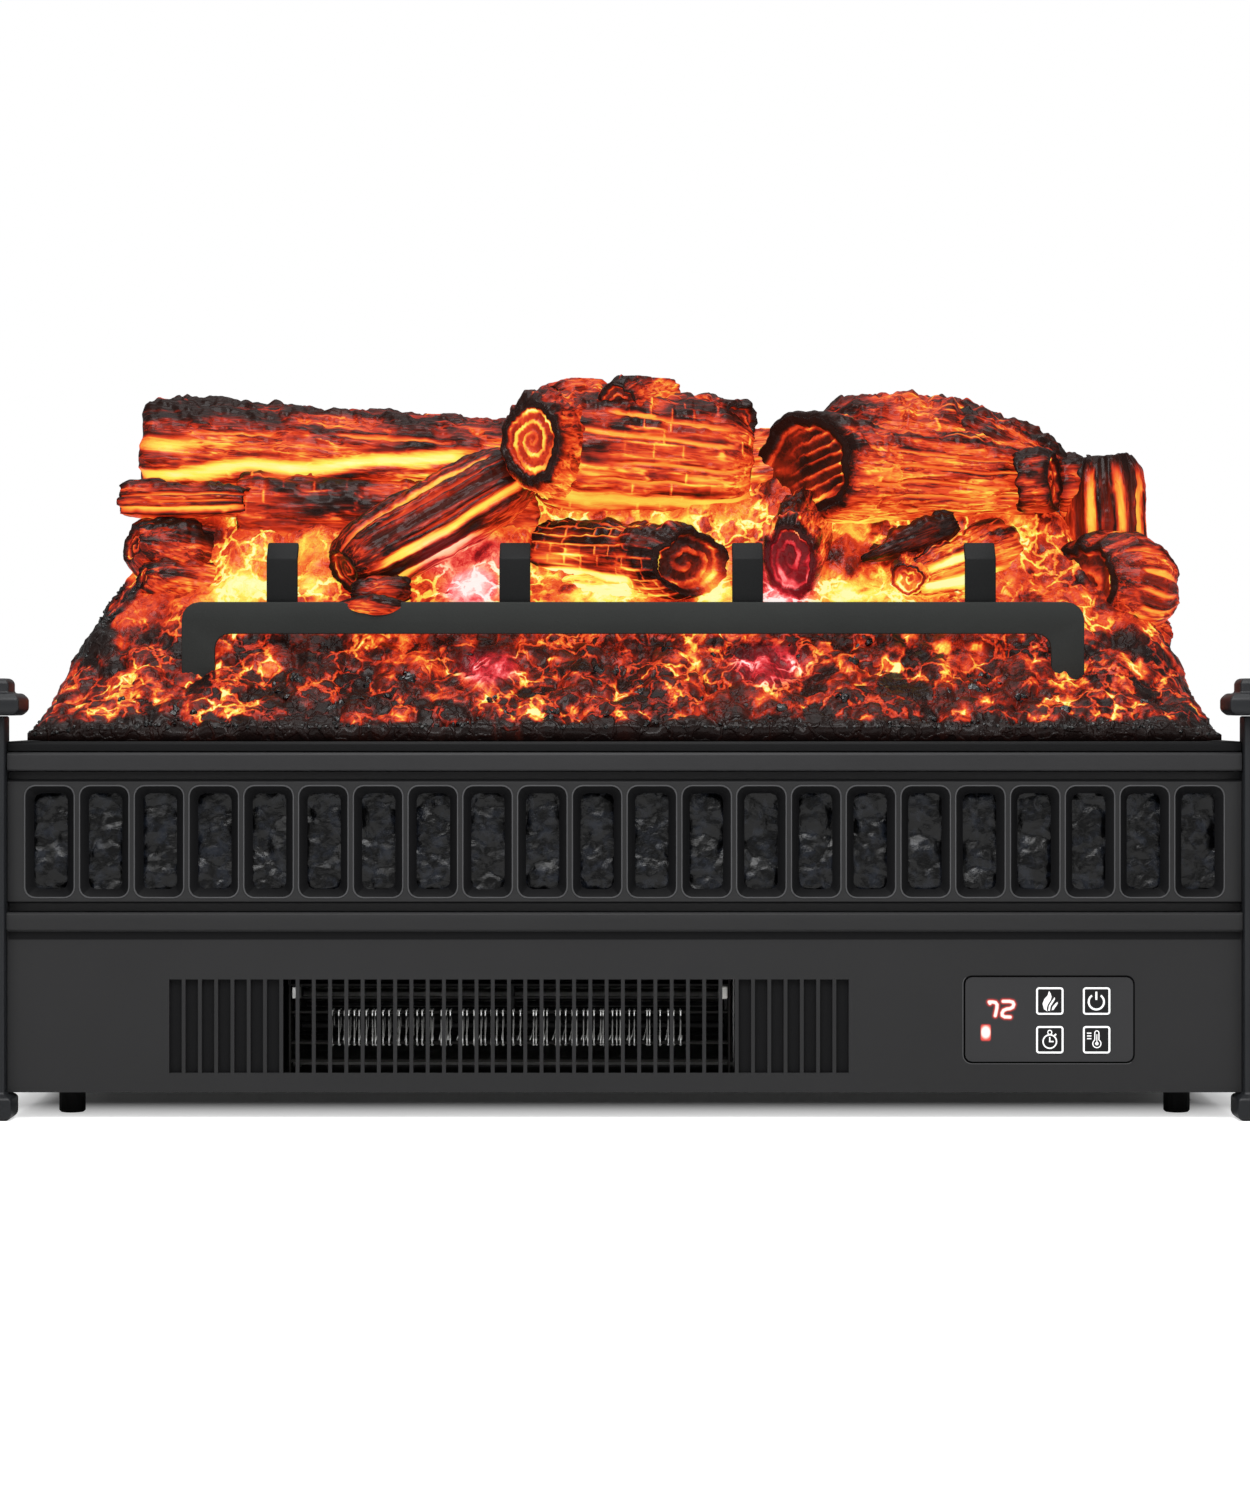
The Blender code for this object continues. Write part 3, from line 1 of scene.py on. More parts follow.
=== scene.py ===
"""Looks of the electric fireplace log set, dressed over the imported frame.

Metres, +Z up, front towards -Y. Every sub-assembly is a class with its sizes as fields,
every finish is a frozen dataclass, and main() builds them in order.
"""

from __future__ import annotations

import json
import logging
import math
from dataclasses import dataclass, field
from enum import Enum
from typing import Callable, Iterable, Sequence

import bmesh
import bpy
import numpy as np
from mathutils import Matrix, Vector
from mathutils.bvhtree import BVHTree

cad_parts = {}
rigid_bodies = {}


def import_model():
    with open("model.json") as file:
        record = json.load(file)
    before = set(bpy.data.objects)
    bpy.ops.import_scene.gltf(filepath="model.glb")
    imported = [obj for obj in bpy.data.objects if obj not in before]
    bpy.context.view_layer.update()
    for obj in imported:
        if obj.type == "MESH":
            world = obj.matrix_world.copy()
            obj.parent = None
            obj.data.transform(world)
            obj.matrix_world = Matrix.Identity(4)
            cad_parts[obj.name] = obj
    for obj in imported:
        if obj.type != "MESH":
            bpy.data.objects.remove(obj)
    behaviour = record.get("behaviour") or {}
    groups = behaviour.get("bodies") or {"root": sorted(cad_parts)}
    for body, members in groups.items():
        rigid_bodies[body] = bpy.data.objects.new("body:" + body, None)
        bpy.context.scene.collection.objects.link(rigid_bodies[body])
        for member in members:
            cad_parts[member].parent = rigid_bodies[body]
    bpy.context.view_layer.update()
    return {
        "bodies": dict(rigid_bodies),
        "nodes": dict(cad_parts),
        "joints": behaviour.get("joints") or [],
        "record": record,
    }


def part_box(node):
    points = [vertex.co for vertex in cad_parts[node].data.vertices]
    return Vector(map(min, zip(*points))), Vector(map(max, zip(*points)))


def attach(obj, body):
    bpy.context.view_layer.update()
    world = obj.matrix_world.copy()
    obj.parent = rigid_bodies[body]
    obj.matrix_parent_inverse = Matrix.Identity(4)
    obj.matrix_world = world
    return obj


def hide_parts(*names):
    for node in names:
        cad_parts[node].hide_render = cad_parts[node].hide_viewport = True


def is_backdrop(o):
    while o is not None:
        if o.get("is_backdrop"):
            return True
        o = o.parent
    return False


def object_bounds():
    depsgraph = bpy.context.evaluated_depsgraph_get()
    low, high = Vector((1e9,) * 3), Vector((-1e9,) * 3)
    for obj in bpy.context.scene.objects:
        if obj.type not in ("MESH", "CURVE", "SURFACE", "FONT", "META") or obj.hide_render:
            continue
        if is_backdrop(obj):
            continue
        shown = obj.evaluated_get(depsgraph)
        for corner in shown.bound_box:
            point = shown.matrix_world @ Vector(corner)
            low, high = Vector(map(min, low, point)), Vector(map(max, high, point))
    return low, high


log = logging.getLogger("log_set")

Array = np.ndarray
Material = bpy.types.Material
Mesh = bpy.types.Mesh
Object = bpy.types.Object
Socket = bpy.types.NodeSocket
Colour = tuple[float, float, float]
Point = tuple[float, float, float]
Stops = tuple[tuple[float, Colour], ...]
Outline = Sequence[tuple[float, float]]

HOUSING = "housing"
STAND = (math.pi / 2, 0, 0)
EPS = 1e-9


# Shared mesh and node helpers

def new_object(name: str, mesh: Mesh, material: Material | None = None,
               smooth: bool = False) -> Object:
    """Link a mesh as an object at the origin.

    Args:
        name: the piece's name.
        mesh: its mesh, already in place.
        material: its finish, if the mesh has none yet.
        smooth: whether its faces are shaded smooth.

    Returns:
        The new object.
    """
    obj = bpy.data.objects.new(name, mesh)
    bpy.context.scene.collection.objects.link(obj)
    if material is not None:
        mesh.materials.clear()
        mesh.materials.append(material)
    if smooth:
        shade_smooth(mesh)
    return obj


def shade_smooth(mesh: Mesh) -> None:
    """Shade all faces smooth."""
    mesh.polygons.foreach_set("use_smooth", [True] * len(mesh.polygons))


def middle_of(node: str) -> Point:
    """Return the middle of a CAD node's box."""
    return tuple((a + b) / 2 for a, b in zip(*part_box(node)))


def size_of(node: str) -> Point:
    """Return the size of a CAD node's box."""
    return tuple(b - a for a, b in zip(*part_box(node)))


def joined(parts: Iterable[tuple]) -> tuple[Array, list[tuple[int, ...]]]:
    """Join parts of a mesh.

    Args:
        parts: the vertices and faces of each part.

    Returns:
        All vertices and all faces.
    """
    verts, faces, first = [], [], 0
    for points, shape in parts:
        faces += [tuple(index + first for index in face) for face in shape]
        verts.append(points)
        first += len(points)
    return np.concatenate(verts), faces


def sheet_faces(rows: int, columns: int) -> list[tuple[int, ...]]:
    """Return the quads between rows of points."""
    return [(a, a + 1, a + columns + 1, a + columns) for row in range(rows - 1)
        for a in range(row * columns, (row + 1) * columns - 1)]


def mesh_from(name: str, verts: Array, faces: Iterable[Sequence[int]]) -> Mesh:
    """Make a mesh from vertex and face lists.

    Args:
        name: the mesh's name.
        verts: an N by 3 array in metres.
        faces: vertex index tuples.

    Returns:
        The validated mesh.
    """
    mesh = bpy.data.meshes.new(name)
    mesh.from_pydata([tuple(v) for v in verts], [], [tuple(f) for f in faces])
    mesh.update()
    return mesh


def set_attribute(mesh: Mesh, name: str, values: Array) -> None:
    """Store one float for each vertex under a name."""
    layer = mesh.attributes.new(name, 'FLOAT', 'POINT')
    layer.data.foreach_set("value", np.asarray(values, dtype=np.float32))


def settle(obj: Object, body: str, *nodes: str, slot: str = "") -> Object:
    """Hand a finished piece to the frame.

    Args:
        obj: the finished piece.
        body: the body that it rides on.
        nodes: the CAD nodes that it stands for.
        slot: not used.

    Returns:
        The same object.
    """
    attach(obj, body)
    if nodes:
        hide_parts(*nodes)
    log.info("%s: %d faces on %s", obj.name, len(obj.data.polygons), body)
    return obj


def refined_copy(frame: dict, node: str, width: float, segments: int = 2,
                 angle: float = 30.0) -> Object:
    """Copy a CAD node, weld it, clear its flat facets and round its edges.

    Args:
        node: the CAD node's name.
        width: the edge radius in metres.
        segments: the segments across each rounded edge.
        angle: the least edge angle in degrees that is rounded.

    Returns:
        A new object with the bevel applied.
    """
    bm = bmesh.new()
    bm.from_mesh(frame["nodes"][node].data)
    bmesh.ops.remove_doubles(bm, verts=bm.verts[:], dist=1e-6)
    bmesh.ops.dissolve_limit(bm, angle_limit=math.radians(1.0), verts=bm.verts[:],
        edges=bm.edges[:])
    mesh = bpy.data.meshes.new(node + "_shell")
    bm.to_mesh(mesh)
    bm.free()
    obj = new_object(node + "_shell", mesh)
    modifier = obj.modifiers.new("edges", 'BEVEL')
    modifier.width = width
    modifier.segments = segments
    modifier.limit_method = 'ANGLE'
    modifier.angle_limit = math.radians(angle)
    modifier.use_clamp_overlap = True
    modifier.harden_normals = False
    return apply_modifiers(obj, node + "_shell")


def apply_modifiers(obj: Object, name: str, smooth: bool = False) -> Object:
    """Turn an object with live modifiers into a plain mesh object.

    Args:
        obj: the object; it is removed.
        name: the new object's name.
        smooth: whether its faces are shaded smooth.

    Returns:
        The plain object.
    """
    graph = bpy.context.evaluated_depsgraph_get()
    mesh = bpy.data.meshes.new_from_object(obj.evaluated_get(graph))
    old = obj.data
    bpy.data.objects.remove(obj, do_unlink=True)
    if isinstance(old, Mesh) and old.users == 0:
        bpy.data.meshes.remove(old)
    mesh.name = name
    return new_object(name, mesh, smooth=smooth)


def smooth_by_angle(obj: Object, degrees: float, material: Material | None = None) -> None:
    """Shade faces smooth but keep edges over an angle sharp.

    Args:
        obj: the piece.
        degrees: the angle.
        material: its new finish, if it gets one.
    """
    mesh = obj.data
    shade_smooth(mesh)
    bm = bmesh.new()
    bm.from_mesh(mesh)
    limit = math.radians(degrees)
    for edge in bm.edges:
        edge.smooth = len(edge.link_faces) == 2 and edge.calc_face_angle(0.0) < limit
    bm.to_mesh(mesh)
    bm.free()
    if material is not None:
        mesh.materials.clear()
        mesh.materials.append(material)


class Nodes:
    """A thin builder over one node tree."""

    def __init__(self, tree: bpy.types.NodeTree) -> None:
        """Keep the tree that nodes are added to."""
        self.tree = tree

    def fill(self, node: bpy.types.Node, *items: object, **more: object) -> bpy.types.Node:
        """Set a node up.

        Args:
            node: the node.
            items: its first inputs: values, sockets to link, or None for one that stays.
            more: settings, and inputs by names that start with a capital.

        Returns:
            The same node.
        """
        inputs = dict(enumerate(items))
        for key, value in more.items():
            if key[0].isupper():
                inputs[key.replace("_", " ")] = value
            else:
                setattr(node, key, value)
        for key, value in inputs.items():
            if isinstance(value, Socket):
                self.tree.links.new(value, node.inputs[key])
            elif value is not None:
                node.inputs[key].default_value = value
        return node

    def out(self, kind: str, *items: object, **more: object) -> Socket:
        """Add a node, named without ShaderNode, set it up and return its first output."""
        kind = kind if "Node" in kind else "ShaderNode" + kind
        return self.fill(self.tree.nodes.new(kind), *items, **more).outputs[0]

    def mix(self, factor: Socket | float, a: object, b: object, **more: object) -> Socket:
        """Blend two colours."""
        gap = (None,) * 5
        return self.out("Mix", factor, *gap, a, b, data_type='RGBA', **more).node.outputs[2]

    def coords(self) -> Socket:
        """Return the object coordinates."""
        return self.tree.nodes.new("ShaderNodeTexCoord").outputs["Object"]

    def attribute(self, name: str, output: str) -> Socket:
        """Return an output of the attribute node of a name."""
        return self.out("Attribute", attribute_name=name).node.outputs[output]

    def math(self, operation: str, *items: Socket | float) -> Socket:
        """Work on sockets or numbers with a Math node."""
        return self.out("Math", *items, operation=operation)

    def clamped(self, source: Socket, low: float, high: float) -> Socket:
        """Keep a socket between two numbers."""
        return self.math('MINIMUM', self.math('MAXIMUM', source, low), high)

    def combine(self, *parts: Socket | float) -> Socket:
        """Return a vector made of three sockets or numbers."""
        return self.out("CombineXYZ", *parts)

    def split(self, vector: Socket) -> list[Socket]:
        """Return a vector's three parts."""
        return list(self.out("SeparateXYZ", vector).node.outputs)

    def ramp(self, source: Socket, stops: Stops) -> Socket:
        """Colour a socket.

        Args:
            source: the value.
            stops: positions and colours.

        Returns:
            The colour.
        """
        colour = self.out("ValToRGB", source)
        ramp = colour.node.color_ramp
        while len(ramp.elements) < len(stops):
            ramp.elements.new(1.0)
        for element, (position, shade) in zip(ramp.elements, stops):
            element.position = position
            element.color = (*shade, 1.0)
        return colour

    def stretch(self, source: Socket, low: float, high: float, top: float = 1.0) -> Socket:
        """Ease from 0 where the socket is at low to top where it is at high."""
        return self.out("MapRange", Value=source, From_Min=low, From_Max=high, To_Max=top,
            interpolation_type='SMOOTHSTEP')

    def noise(self, vector: Socket, scale: float, detail: float = 3.0, roughness: float = 0.5,
              distortion: float = 0.0) -> Socket:
        """Return a noise texture's value."""
        return self.out("TexNoise", Vector=vector, Scale=scale, Detail=detail, Roughness=roughness,
            Distortion=distortion)

    def bump(self, height: Socket, distance: float, strength: float,
             normal: Socket | None = None) -> Socket:
        """Return the normal that a height gives, over another normal if there is one."""
        return self.out("Bump", Strength=strength, Distance=distance, Height=height, Normal=normal)


def begin_material(name: str) -> tuple[Material, Nodes, bpy.types.Node]:
    """Start a node material.

    Args:
        name: the material's name.

    Returns:
        The material, its node builder and its Principled BSDF.
    """
    material = bpy.data.materials.new(name)
    material.use_nodes = True
    sheet = Nodes(material.node_tree)
    return material, sheet, material.node_tree.nodes["Principled BSDF"]


# Finishes

@dataclass(frozen=True)
class MouldedFinish:
    """Moulded plastic, paint or rubber with a fine grain and faint wear."""

    name: str
    colour: Colour
    roughness: float
    grain_scale: float = 900.0
    specular: float = 0.5
    grain_depth: float = 0.00004
    mottle: float = 0.12

    def material(self) -> Material:
        """Build the node material.

        Returns:
            The material.
        """
        material, sheet, shader = begin_material(self.name)
        coords = sheet.coords()
        broad = sheet.noise(coords, 22.0, 4.0)
        shade = sheet.math('MULTIPLY_ADD', broad, 2 * self.mottle, 1.0 - self.mottle)
        grey = sheet.out("CombineColor", shade, shade, shade)
        tint = sheet.mix(1.0, (*self.colour, 1.0), grey, blend_type='MULTIPLY')
        grain = sheet.noise(coords, self.grain_scale, 2.0)
        roughness = sheet.math('MULTIPLY_ADD', broad, 0.14, self.roughness - 0.07)
        sheet.fill(shader, Base_Color=tint, Roughness=roughness,
            Specular_IOR_Level=self.specular, Normal=sheet.bump(grain, self.grain_depth, 0.6))
        return material


@dataclass(frozen=True)
class MetalFinish:
    """Bare sheet or wire with drawn streaks along one axis."""

    name: str
    colour: Colour
    roughness: float
    streak: Point = (8.0, 500.0, 500.0)
    dirt: float = 0.25

    def material(self) -> Material:
        """Build the node material.

        Returns:
            The material.
        """
        material, sheet, shader = begin_material(self.name)
        coords = sheet.coords()
        drawn = sheet.out("Mapping", Vector=coords, Scale=self.streak)
        lines = sheet.noise(drawn, 1.0, 3.0)
        darker = tuple(channel * (1.0 - self.dirt) for channel in self.colour)
        colour = sheet.ramp(sheet.noise(coords, 45.0, 4.0), ((0.3, darker), (0.65, self.colour)))
        roughness = sheet.math('MULTIPLY_ADD', lines, 0.25, self.roughness - 0.1)
        sheet.fill(shader, Base_Color=colour, Metallic=1.0, Roughness=roughness,
            Normal=sheet.bump(lines, 0.00003, 0.5))
        return material


@dataclass(frozen=True)
class LitFinish(MouldedFinish):
    """A moulded surface that shines where its vertices glow."""

    stops: Stops = ()

    def material(self) -> Material:
        """Build the node material and light it.

        Returns:
            The material.
        """
        material = super().material()
        sheet = Nodes(material.node_tree)
        glow = sheet.ramp(sheet.attribute("glow", "Fac"), self.stops)
        sheet.fill(material.node_tree.nodes["Principled BSDF"], Emission_Color=glow,
            Emission_Strength=1.0)
        material.cycles.emission_sampling = 'NONE'
        return material


@dataclass(frozen=True)
class WireFinish:
    """Resistance wire coloured by height: a painted highlight on its lowest quarter and round the
    knots near its top, painted shade over its middle and a near black band of painted shadow just
    below the knots.
    """

    name: str
    # Height shares, grey and blue of the painted light: highlight low and at the knots, shade
    # between
    painted_light_levels: tuple[Point, ...] = (
        (0.0, 0.9, 0.88), (0.24, 0.9, 0.88), (0.31, 0.3, 0.29), (0.72, 0.2, 0.195),
        (0.78, 0.004, 0.004), (0.84, 0.004, 0.004), (0.87, 0.9, 0.88), (0.97, 0.9, 0.88),
        (1.0, 0.01, 0.01))
    low: float = 0.034
    high: float = 0.0535

    def material(self) -> Material:
        """Build the node material.

        Returns:
            The material.
        """
        material, sheet, shader = begin_material(self.name)
        span = self.high - self.low
        share = sheet.math('MULTIPLY_ADD', sheet.split(sheet.coords())[2], 1 / span,
            -self.low / span)
        stops = tuple((place, (grey, grey, blue)) for place, grey, blue in self.painted_light_levels)
        sheet.fill(shader, Base_Color=sheet.ramp(share, stops), Roughness=0.35, Metallic=0.35)
        return material


@dataclass(frozen=True)
class GlowingResin:
    """Translucent resin lit from inside, painted with char where it isn't lit."""

    name: str
    stops: Stops = (
        (0.0, (0.0015, 0.0008, 0.0008)),
        (0.18, (0.012, 0.0025, 0.0015)),
        (0.3, (0.06, 0.005, 0.002)),
        (0.41, (0.21, 0.01, 0.003)),
        (0.52, (0.52, 0.024, 0.006)),
        (0.62, (0.83, 0.066, 0.014)),
        (0.71, (0.93, 0.19, 0.028)),
        (0.8, (0.96, 0.45, 0.05)),
        (0.92, (0.978, 0.885, 0.112)),
        (1.0, (1.0, 0.96, 0.42)),
    )
    rosy_stops: Stops = (
        (0.0, (0.01, 0.001, 0.002)),
        (0.4, (0.2, 0.006, 0.01)),
        (0.6, (0.7, 0.02, 0.032)),
        (0.76, (1.0, 0.12, 0.13)),
        (0.9, (1.0, 0.45, 0.42)),
        (1.0, (1.0, 0.9, 0.86)),
    )
    base: Colour = (0.009, 0.003, 0.002)
    roughness: float = 0.34
    ripple: float = 0.34
    line: float = 0.12
    crack: float = 0.18
    twist: float = 0.4
    ridge: float = 0.0
    ridge_scale: float = 0.24
    specular: float = 0.05
    coat: float = 0.12

    def material(self) -> Material:
        """Build the node material.

        Returns:
            The material.
        """
        material, sheet, shader = begin_material(self.name)
        fibre = sheet.attribute("fibre", "Vector")
        heat, blush, grain = (sheet.attribute(name, "Fac") for name in ("glow", "blush", "grain"))
        streak = sheet.noise(fibre, 1.0, 5.0, 0.62, self.twist)
        coarse = sheet.noise(fibre, 0.35, 3.0, 0.55, self.twist)
        wobble = sheet.math('SUBTRACT', streak, 0.5)
        change = sheet.math('MULTIPLY', wobble, 2 * self.ripple)
        change = sheet.math('MULTIPLY_ADD', sheet.math('MAXIMUM', wobble, 0.0), -0.9 * self.ripple,
            change)
        ridge = sheet.math('ABSOLUTE', sheet.math('SUBTRACT', coarse, 0.5))
        change = sheet.math('MULTIPLY_ADD', sheet.stretch(ridge, 0.055, 0.012), self.line, change)
        dark = sheet.stretch(sheet.math('ABSOLUTE', wobble), 0.085, 0.01)
        dark = sheet.math('MULTIPLY', dark, sheet.stretch(coarse, 0.53, 0.42))
        change = sheet.math('MULTIPLY_ADD', dark, -self.crack, change)
        normal = sheet.bump(coarse, 0.0012, 0.5)
        if self.ridge:
            edge, patch = self.rims(sheet, fibre)
            change = sheet.math('MULTIPLY_ADD', sheet.math('MULTIPLY', edge, patch), self.ridge,
                change)
            normal = sheet.bump(edge, 0.0012, 0.7, normal)
        level = sheet.math('MULTIPLY_ADD', change, grain, heat)
        glow = sheet.mix(blush, sheet.ramp(level, self.stops), sheet.ramp(level, self.rosy_stops))
        sheet.fill(shader, Base_Color=(*self.base, 1.0), Emission_Color=glow,
            Emission_Strength=1.0, Specular_IOR_Level=self.specular,
            Roughness=sheet.math('MULTIPLY_ADD', streak, 0.4, self.roughness - 0.2),
            Coat_Weight=self.coat, Coat_Roughness=0.12, Coat_Normal=normal,
            Normal=sheet.bump(streak, 0.0006, 0.7, normal))
        material.cycles.emission_sampling = 'NONE'
        return material

    def rims(self, sheet: Nodes, fibre: Socket) -> tuple[Socket, Socket]:
        """Work out curved ridges.

        Args:
            sheet: the material's nodes.
            fibre: the grain's coordinates.

        Returns:
            The ridges, and the patches where they glow.
        """
        drift = sheet.noise(fibre, 0.3).node.outputs[1]
        warped = sheet.out("VectorMath", drift, (5.0, 5.0, 5.0), fibre, operation='MULTIPLY_ADD')
        cells = sheet.out("TexVoronoi", Vector=warped, Scale=self.ridge_scale,
            feature='DISTANCE_TO_EDGE')
        edge = sheet.stretch(cells, 0.115, 0.03)
        return edge, sheet.stretch(sheet.noise(fibre, 0.11, 2.0), 0.44, 0.56)


@dataclass(frozen=True)
class CoalFinish:
    """Gloss black moulded coal whose colour runs by a noise from low to high, the lighter high
    colour painted in as highlights, bluish on the window coal.
    """

    name: str
    low: Colour = (0.0008, 0.0008, 0.001)
    # The painted highlight colour
    high: Colour = (0.009, 0.0108, 0.0155)
    roughness: float = 0.26
    specular: float = 0.24

    def material(self) -> Material:
        """Build the node material.

        Returns:
            The material.
        """
        material, sheet, shader = begin_material(self.name)
        coords = sheet.coords()
        body = sheet.noise(coords, 160.0, 5.0, 0.6)
        cells = sheet.out("TexVoronoi", Vector=coords, Scale=170.0)
        sheet.fill(shader, Base_Color=sheet.ramp(body, ((0.48, self.low), (0.68, self.high))),
            Roughness=self.roughness, Specular_IOR_Level=self.specular,
            Normal=sheet.bump(body, 0.001, 0.7, sheet.bump(cells, 0.0012, 0.5)))
        return material


# Name, colour, roughness, grain scale, specular level, grain depth and mottle
MOULDED = (
    ("charcoal_front", (0.0145, 0.0145, 0.0151), 0.54, 1400.0, 0.22),
    # The fascia's charcoal made a little lighter as painted light on the rail's face
    ("rail_front_lit_tone", (0.018, 0.018, 0.019), 0.5, 1400.0, 0.22),
    # Painted shade: near black for the window funnels, the duct behind the slots and the strip
    # under the lower rail
    ("painted_shade_dark", (0.0045, 0.0045, 0.005), 0.6, 1400.0, 0.1),
    # Painted shade in the gap round the control panel
    ("painted_groove_shade", (0.0012, 0.0012, 0.0013), 0.7, 1400.0, 0.03),
    # Painted highlight: light grey for the window rims and the control panel's lit edge
    ("painted_highlight", (0.062, 0.0625, 0.065), 0.45, 1400.0, 0.35),
    ("post_paint", (0.0088, 0.0096, 0.0112), 0.44, 1100.0, 0.25, 0.00003),
    # The deck's black, darkened further as painted shade for its front lip's shadowed strip
    ("deck_black_shaded", (0.0034, 0.0034, 0.0038), 0.52, 1200.0, 0.12),
    ("case_powder", (0.011, 0.011, 0.0115), 0.58, 1600.0, 0.22, 0.00008),
    ("panel_satin", (0.023, 0.023, 0.0242), 0.5, 600.0, 0.22, 0.000008),
    ("key_film", (0.0075, 0.0075, 0.0082), 0.4, 600.0, 0.18, 0.000006),
    ("rubber", (0.006, 0.006, 0.006), 0.8, 1500.0, 0.15, 0.00006),
    ("mica", (0.0085, 0.0082, 0.0076), 0.6, 600.0, 0.1, 0.0001, 0.3),
    ("steatite", (0.72, 0.71, 0.67), 0.42, 900.0, 0.5, 0.00004, 0.06),
    ("white_board", (0.62, 0.62, 0.6), 0.45),
    ("green_board", (0.015, 0.11, 0.045), 0.38, 700.0),
    ("dark_wheel", (0.012, 0.012, 0.012), 0.45),
    ("grate_paint", (0.0165, 0.018, 0.017), 0.62, 1100.0, 0.16, 0.00012, 0.25),
    ("tine_paint", (0.0055, 0.0058, 0.006), 0.55, 1100.0, 0.12, 0.0001, 0.25),
)

# The colours of the display's digits by their glow
DIGIT_STOPS = (
    (0.0, (0.0, 0.0, 0.0)),
    (0.28, (0.07, 0.001, 0.001)),
    (0.55, (0.33, 0.008, 0.006)),
    (0.78, (0.85, 0.06, 0.04)),
    (0.9, (0.99, 0.48, 0.38)),
    (1.0, (1.0, 0.98, 0.94)),
)


class Palette:
    """Every finish of the set, made once and handed out by name."""

    def __init__(self) -> None:
        """Build all materials."""
        finishes: list = [MouldedFinish(*row) for row in MOULDED]
        finishes += [
            WireFinish("resistance_wire"), MetalFinish("duct_zinc", (0.46, 0.46, 0.45), 0.36),
            MetalFinish("laminations", (0.2, 0.2, 0.21), 0.45, (900.0, 8.0, 8.0)),
            MetalFinish("copper", (0.58, 0.25, 0.12), 0.34, (700.0, 40.0, 40.0)),
            MetalFinish("screw_zinc", (0.32, 0.32, 0.33), 0.34, (300.0, 300.0, 300.0)),
            CoalFinish("coal_gloss"),
            CoalFinish("fringe_grit", (0.003, 0.003, 0.003), (0.019, 0.018, 0.017), 0.3, 0.34),
            GlowingResin("log_resin"),
            GlowingResin("ember_resin", base=(0.0075, 0.0045, 0.004), roughness=0.3, ripple=0.24,
                line=0.04, crack=0.12, twist=1.0, ridge=0.34),
            CoalFinish("nugget_gloss", (0.001, 0.001, 0.0012), (0.004, 0.004, 0.005), 0.2, 0.42),
            LitFinish("display_glow", (0.023, 0.023, 0.0242), 0.5, 600.0, 0.22, 0.000008,
                stops=DIGIT_STOPS),
            # Printed icons given an even grey glow, painted light, though print is no lamp
            LitFinish("icon_print_painted_glow", (0.6, 0.6, 0.6), 0.5, 600.0, 0.5, 0.000006,
                stops=((0.0, (0.3, 0.3, 0.3)), (1.0, (0.45, 0.45, 0.45)))),
        ]
        self.materials = {finish.name: finish.material() for finish in finishes}

    def __getitem__(self, name: str) -> Material:
        """Return one finish."""
        return self.materials[name]


# Numeric noise for the sculpted pieces

class Grain:
    """Seeded lattice noises on numpy arrays."""

    def __init__(self, seed: int) -> None:
        """Keep the seed."""
        self.seed = seed

    def hashed(self, cells: Array, channel: int) -> Array:
        """Number integer cells at random but repeatably.

        Args:
            cells: whole numbers, the last axis being the dimensions.
            channel: which of several such numbers.

        Returns:
            A number from 0 to 1 for each cell.
        """
        value = np.full(cells.shape[:-1], (self.seed * 7919 + channel * 104729) & 0x7FFFFFFF,
            dtype=np.uint64)
        for axis, prime in enumerate((73856093, 19349663, 83492791)[:cells.shape[-1]]):
            value ^= (cells[..., axis].astype(np.int64) * prime).astype(np.uint64)
            value = (value * np.uint64(2654435761) + np.uint64(12345)) & np.uint64(0xFFFFFFFF)
            value ^= value >> np.uint64(15)
        return (value & np.uint64(0xFFFFFF)).astype(np.float64) / float(0xFFFFFF)

    def value(self, points: Array) -> Array:
        """Smooth noise.

        Args:
            points: N by 3 points in lattice units.

        Returns:
            The noise from -1 to 1.
        """
        base = np.floor(points).astype(np.int64)
        part = points - base
        ease = part * part * (3 - 2 * part)
        total = np.zeros(len(points))
        for corner in range(8):
            offset = np.array([(corner >> axis) & 1 for axis in range(3)])
            weight = np.prod(np.where(offset, ease, 1 - ease), axis=1)
            total += weight * self.hashed(base + offset, 0)
        return 2 * total - 1

    def layered(self, points: Array, octaves: int) -> Array:
        """Sum octaves of smooth noise.

        Args:
            points: N by 3 points in lattice units.
            octaves: how many.

        Returns:
            The noise from -1 to 1.
        """
        total = np.zeros(len(points))
        reach = 1.0
        for octave in range(octaves):
            total += reach * self.value(points * (2 ** octave) + 17.3 * octave)
            reach *= 0.5
        return total / (2 - 2 * reach)

    def cells(self, points: Array, wrap: int = 0,
              jitter: float = 0.8) -> tuple[Array, Array, Array]:
        """Cellular noise.

        Args:
            points: an N by D array in cell units.
            wrap: the number of cells after which the last axis repeats, or zero.
            jitter: how far a seed may lie from its cell's middle.

        Returns:
            The nearest distance, the second nearest, and the nearest cell's number.
        """
        count, size = points.shape
        base = np.floor(points).astype(np.int64)
        first = np.full(count, 9.0)
        second = np.full(count, 9.0)
        label = np.zeros(count)
        for step in range(3 ** size):
            offset = np.array([(step // 3 ** axis) % 3 - 1 for axis in range(size)])
            cell = base + offset
            keyed = cell.copy()
            if wrap:
                keyed[:, -1] %= wrap
            seed = np.stack([self.hashed(keyed, axis + 1) for axis in range(size)], axis=1)
            seed = cell + 0.5 + jitter * (seed - 0.5)
            gap = np.sqrt(((points - seed) ** 2).sum(axis=1))
            closer = gap < first
            second = np.where(closer, first, np.minimum(second, gap))
            label = np.where(closer, self.hashed(keyed, 9), label)
            first = np.where(closer, gap, first)
        return first, second, label


def ease_between(low: float, high: float, value: Array) -> Array:
    """Smooth step from 0 at low to 1 at high."""
    part = np.clip((value - low) / (high - low + EPS), 0, 1)
    return part * part * (3 - 2 * part)


# Photo frame

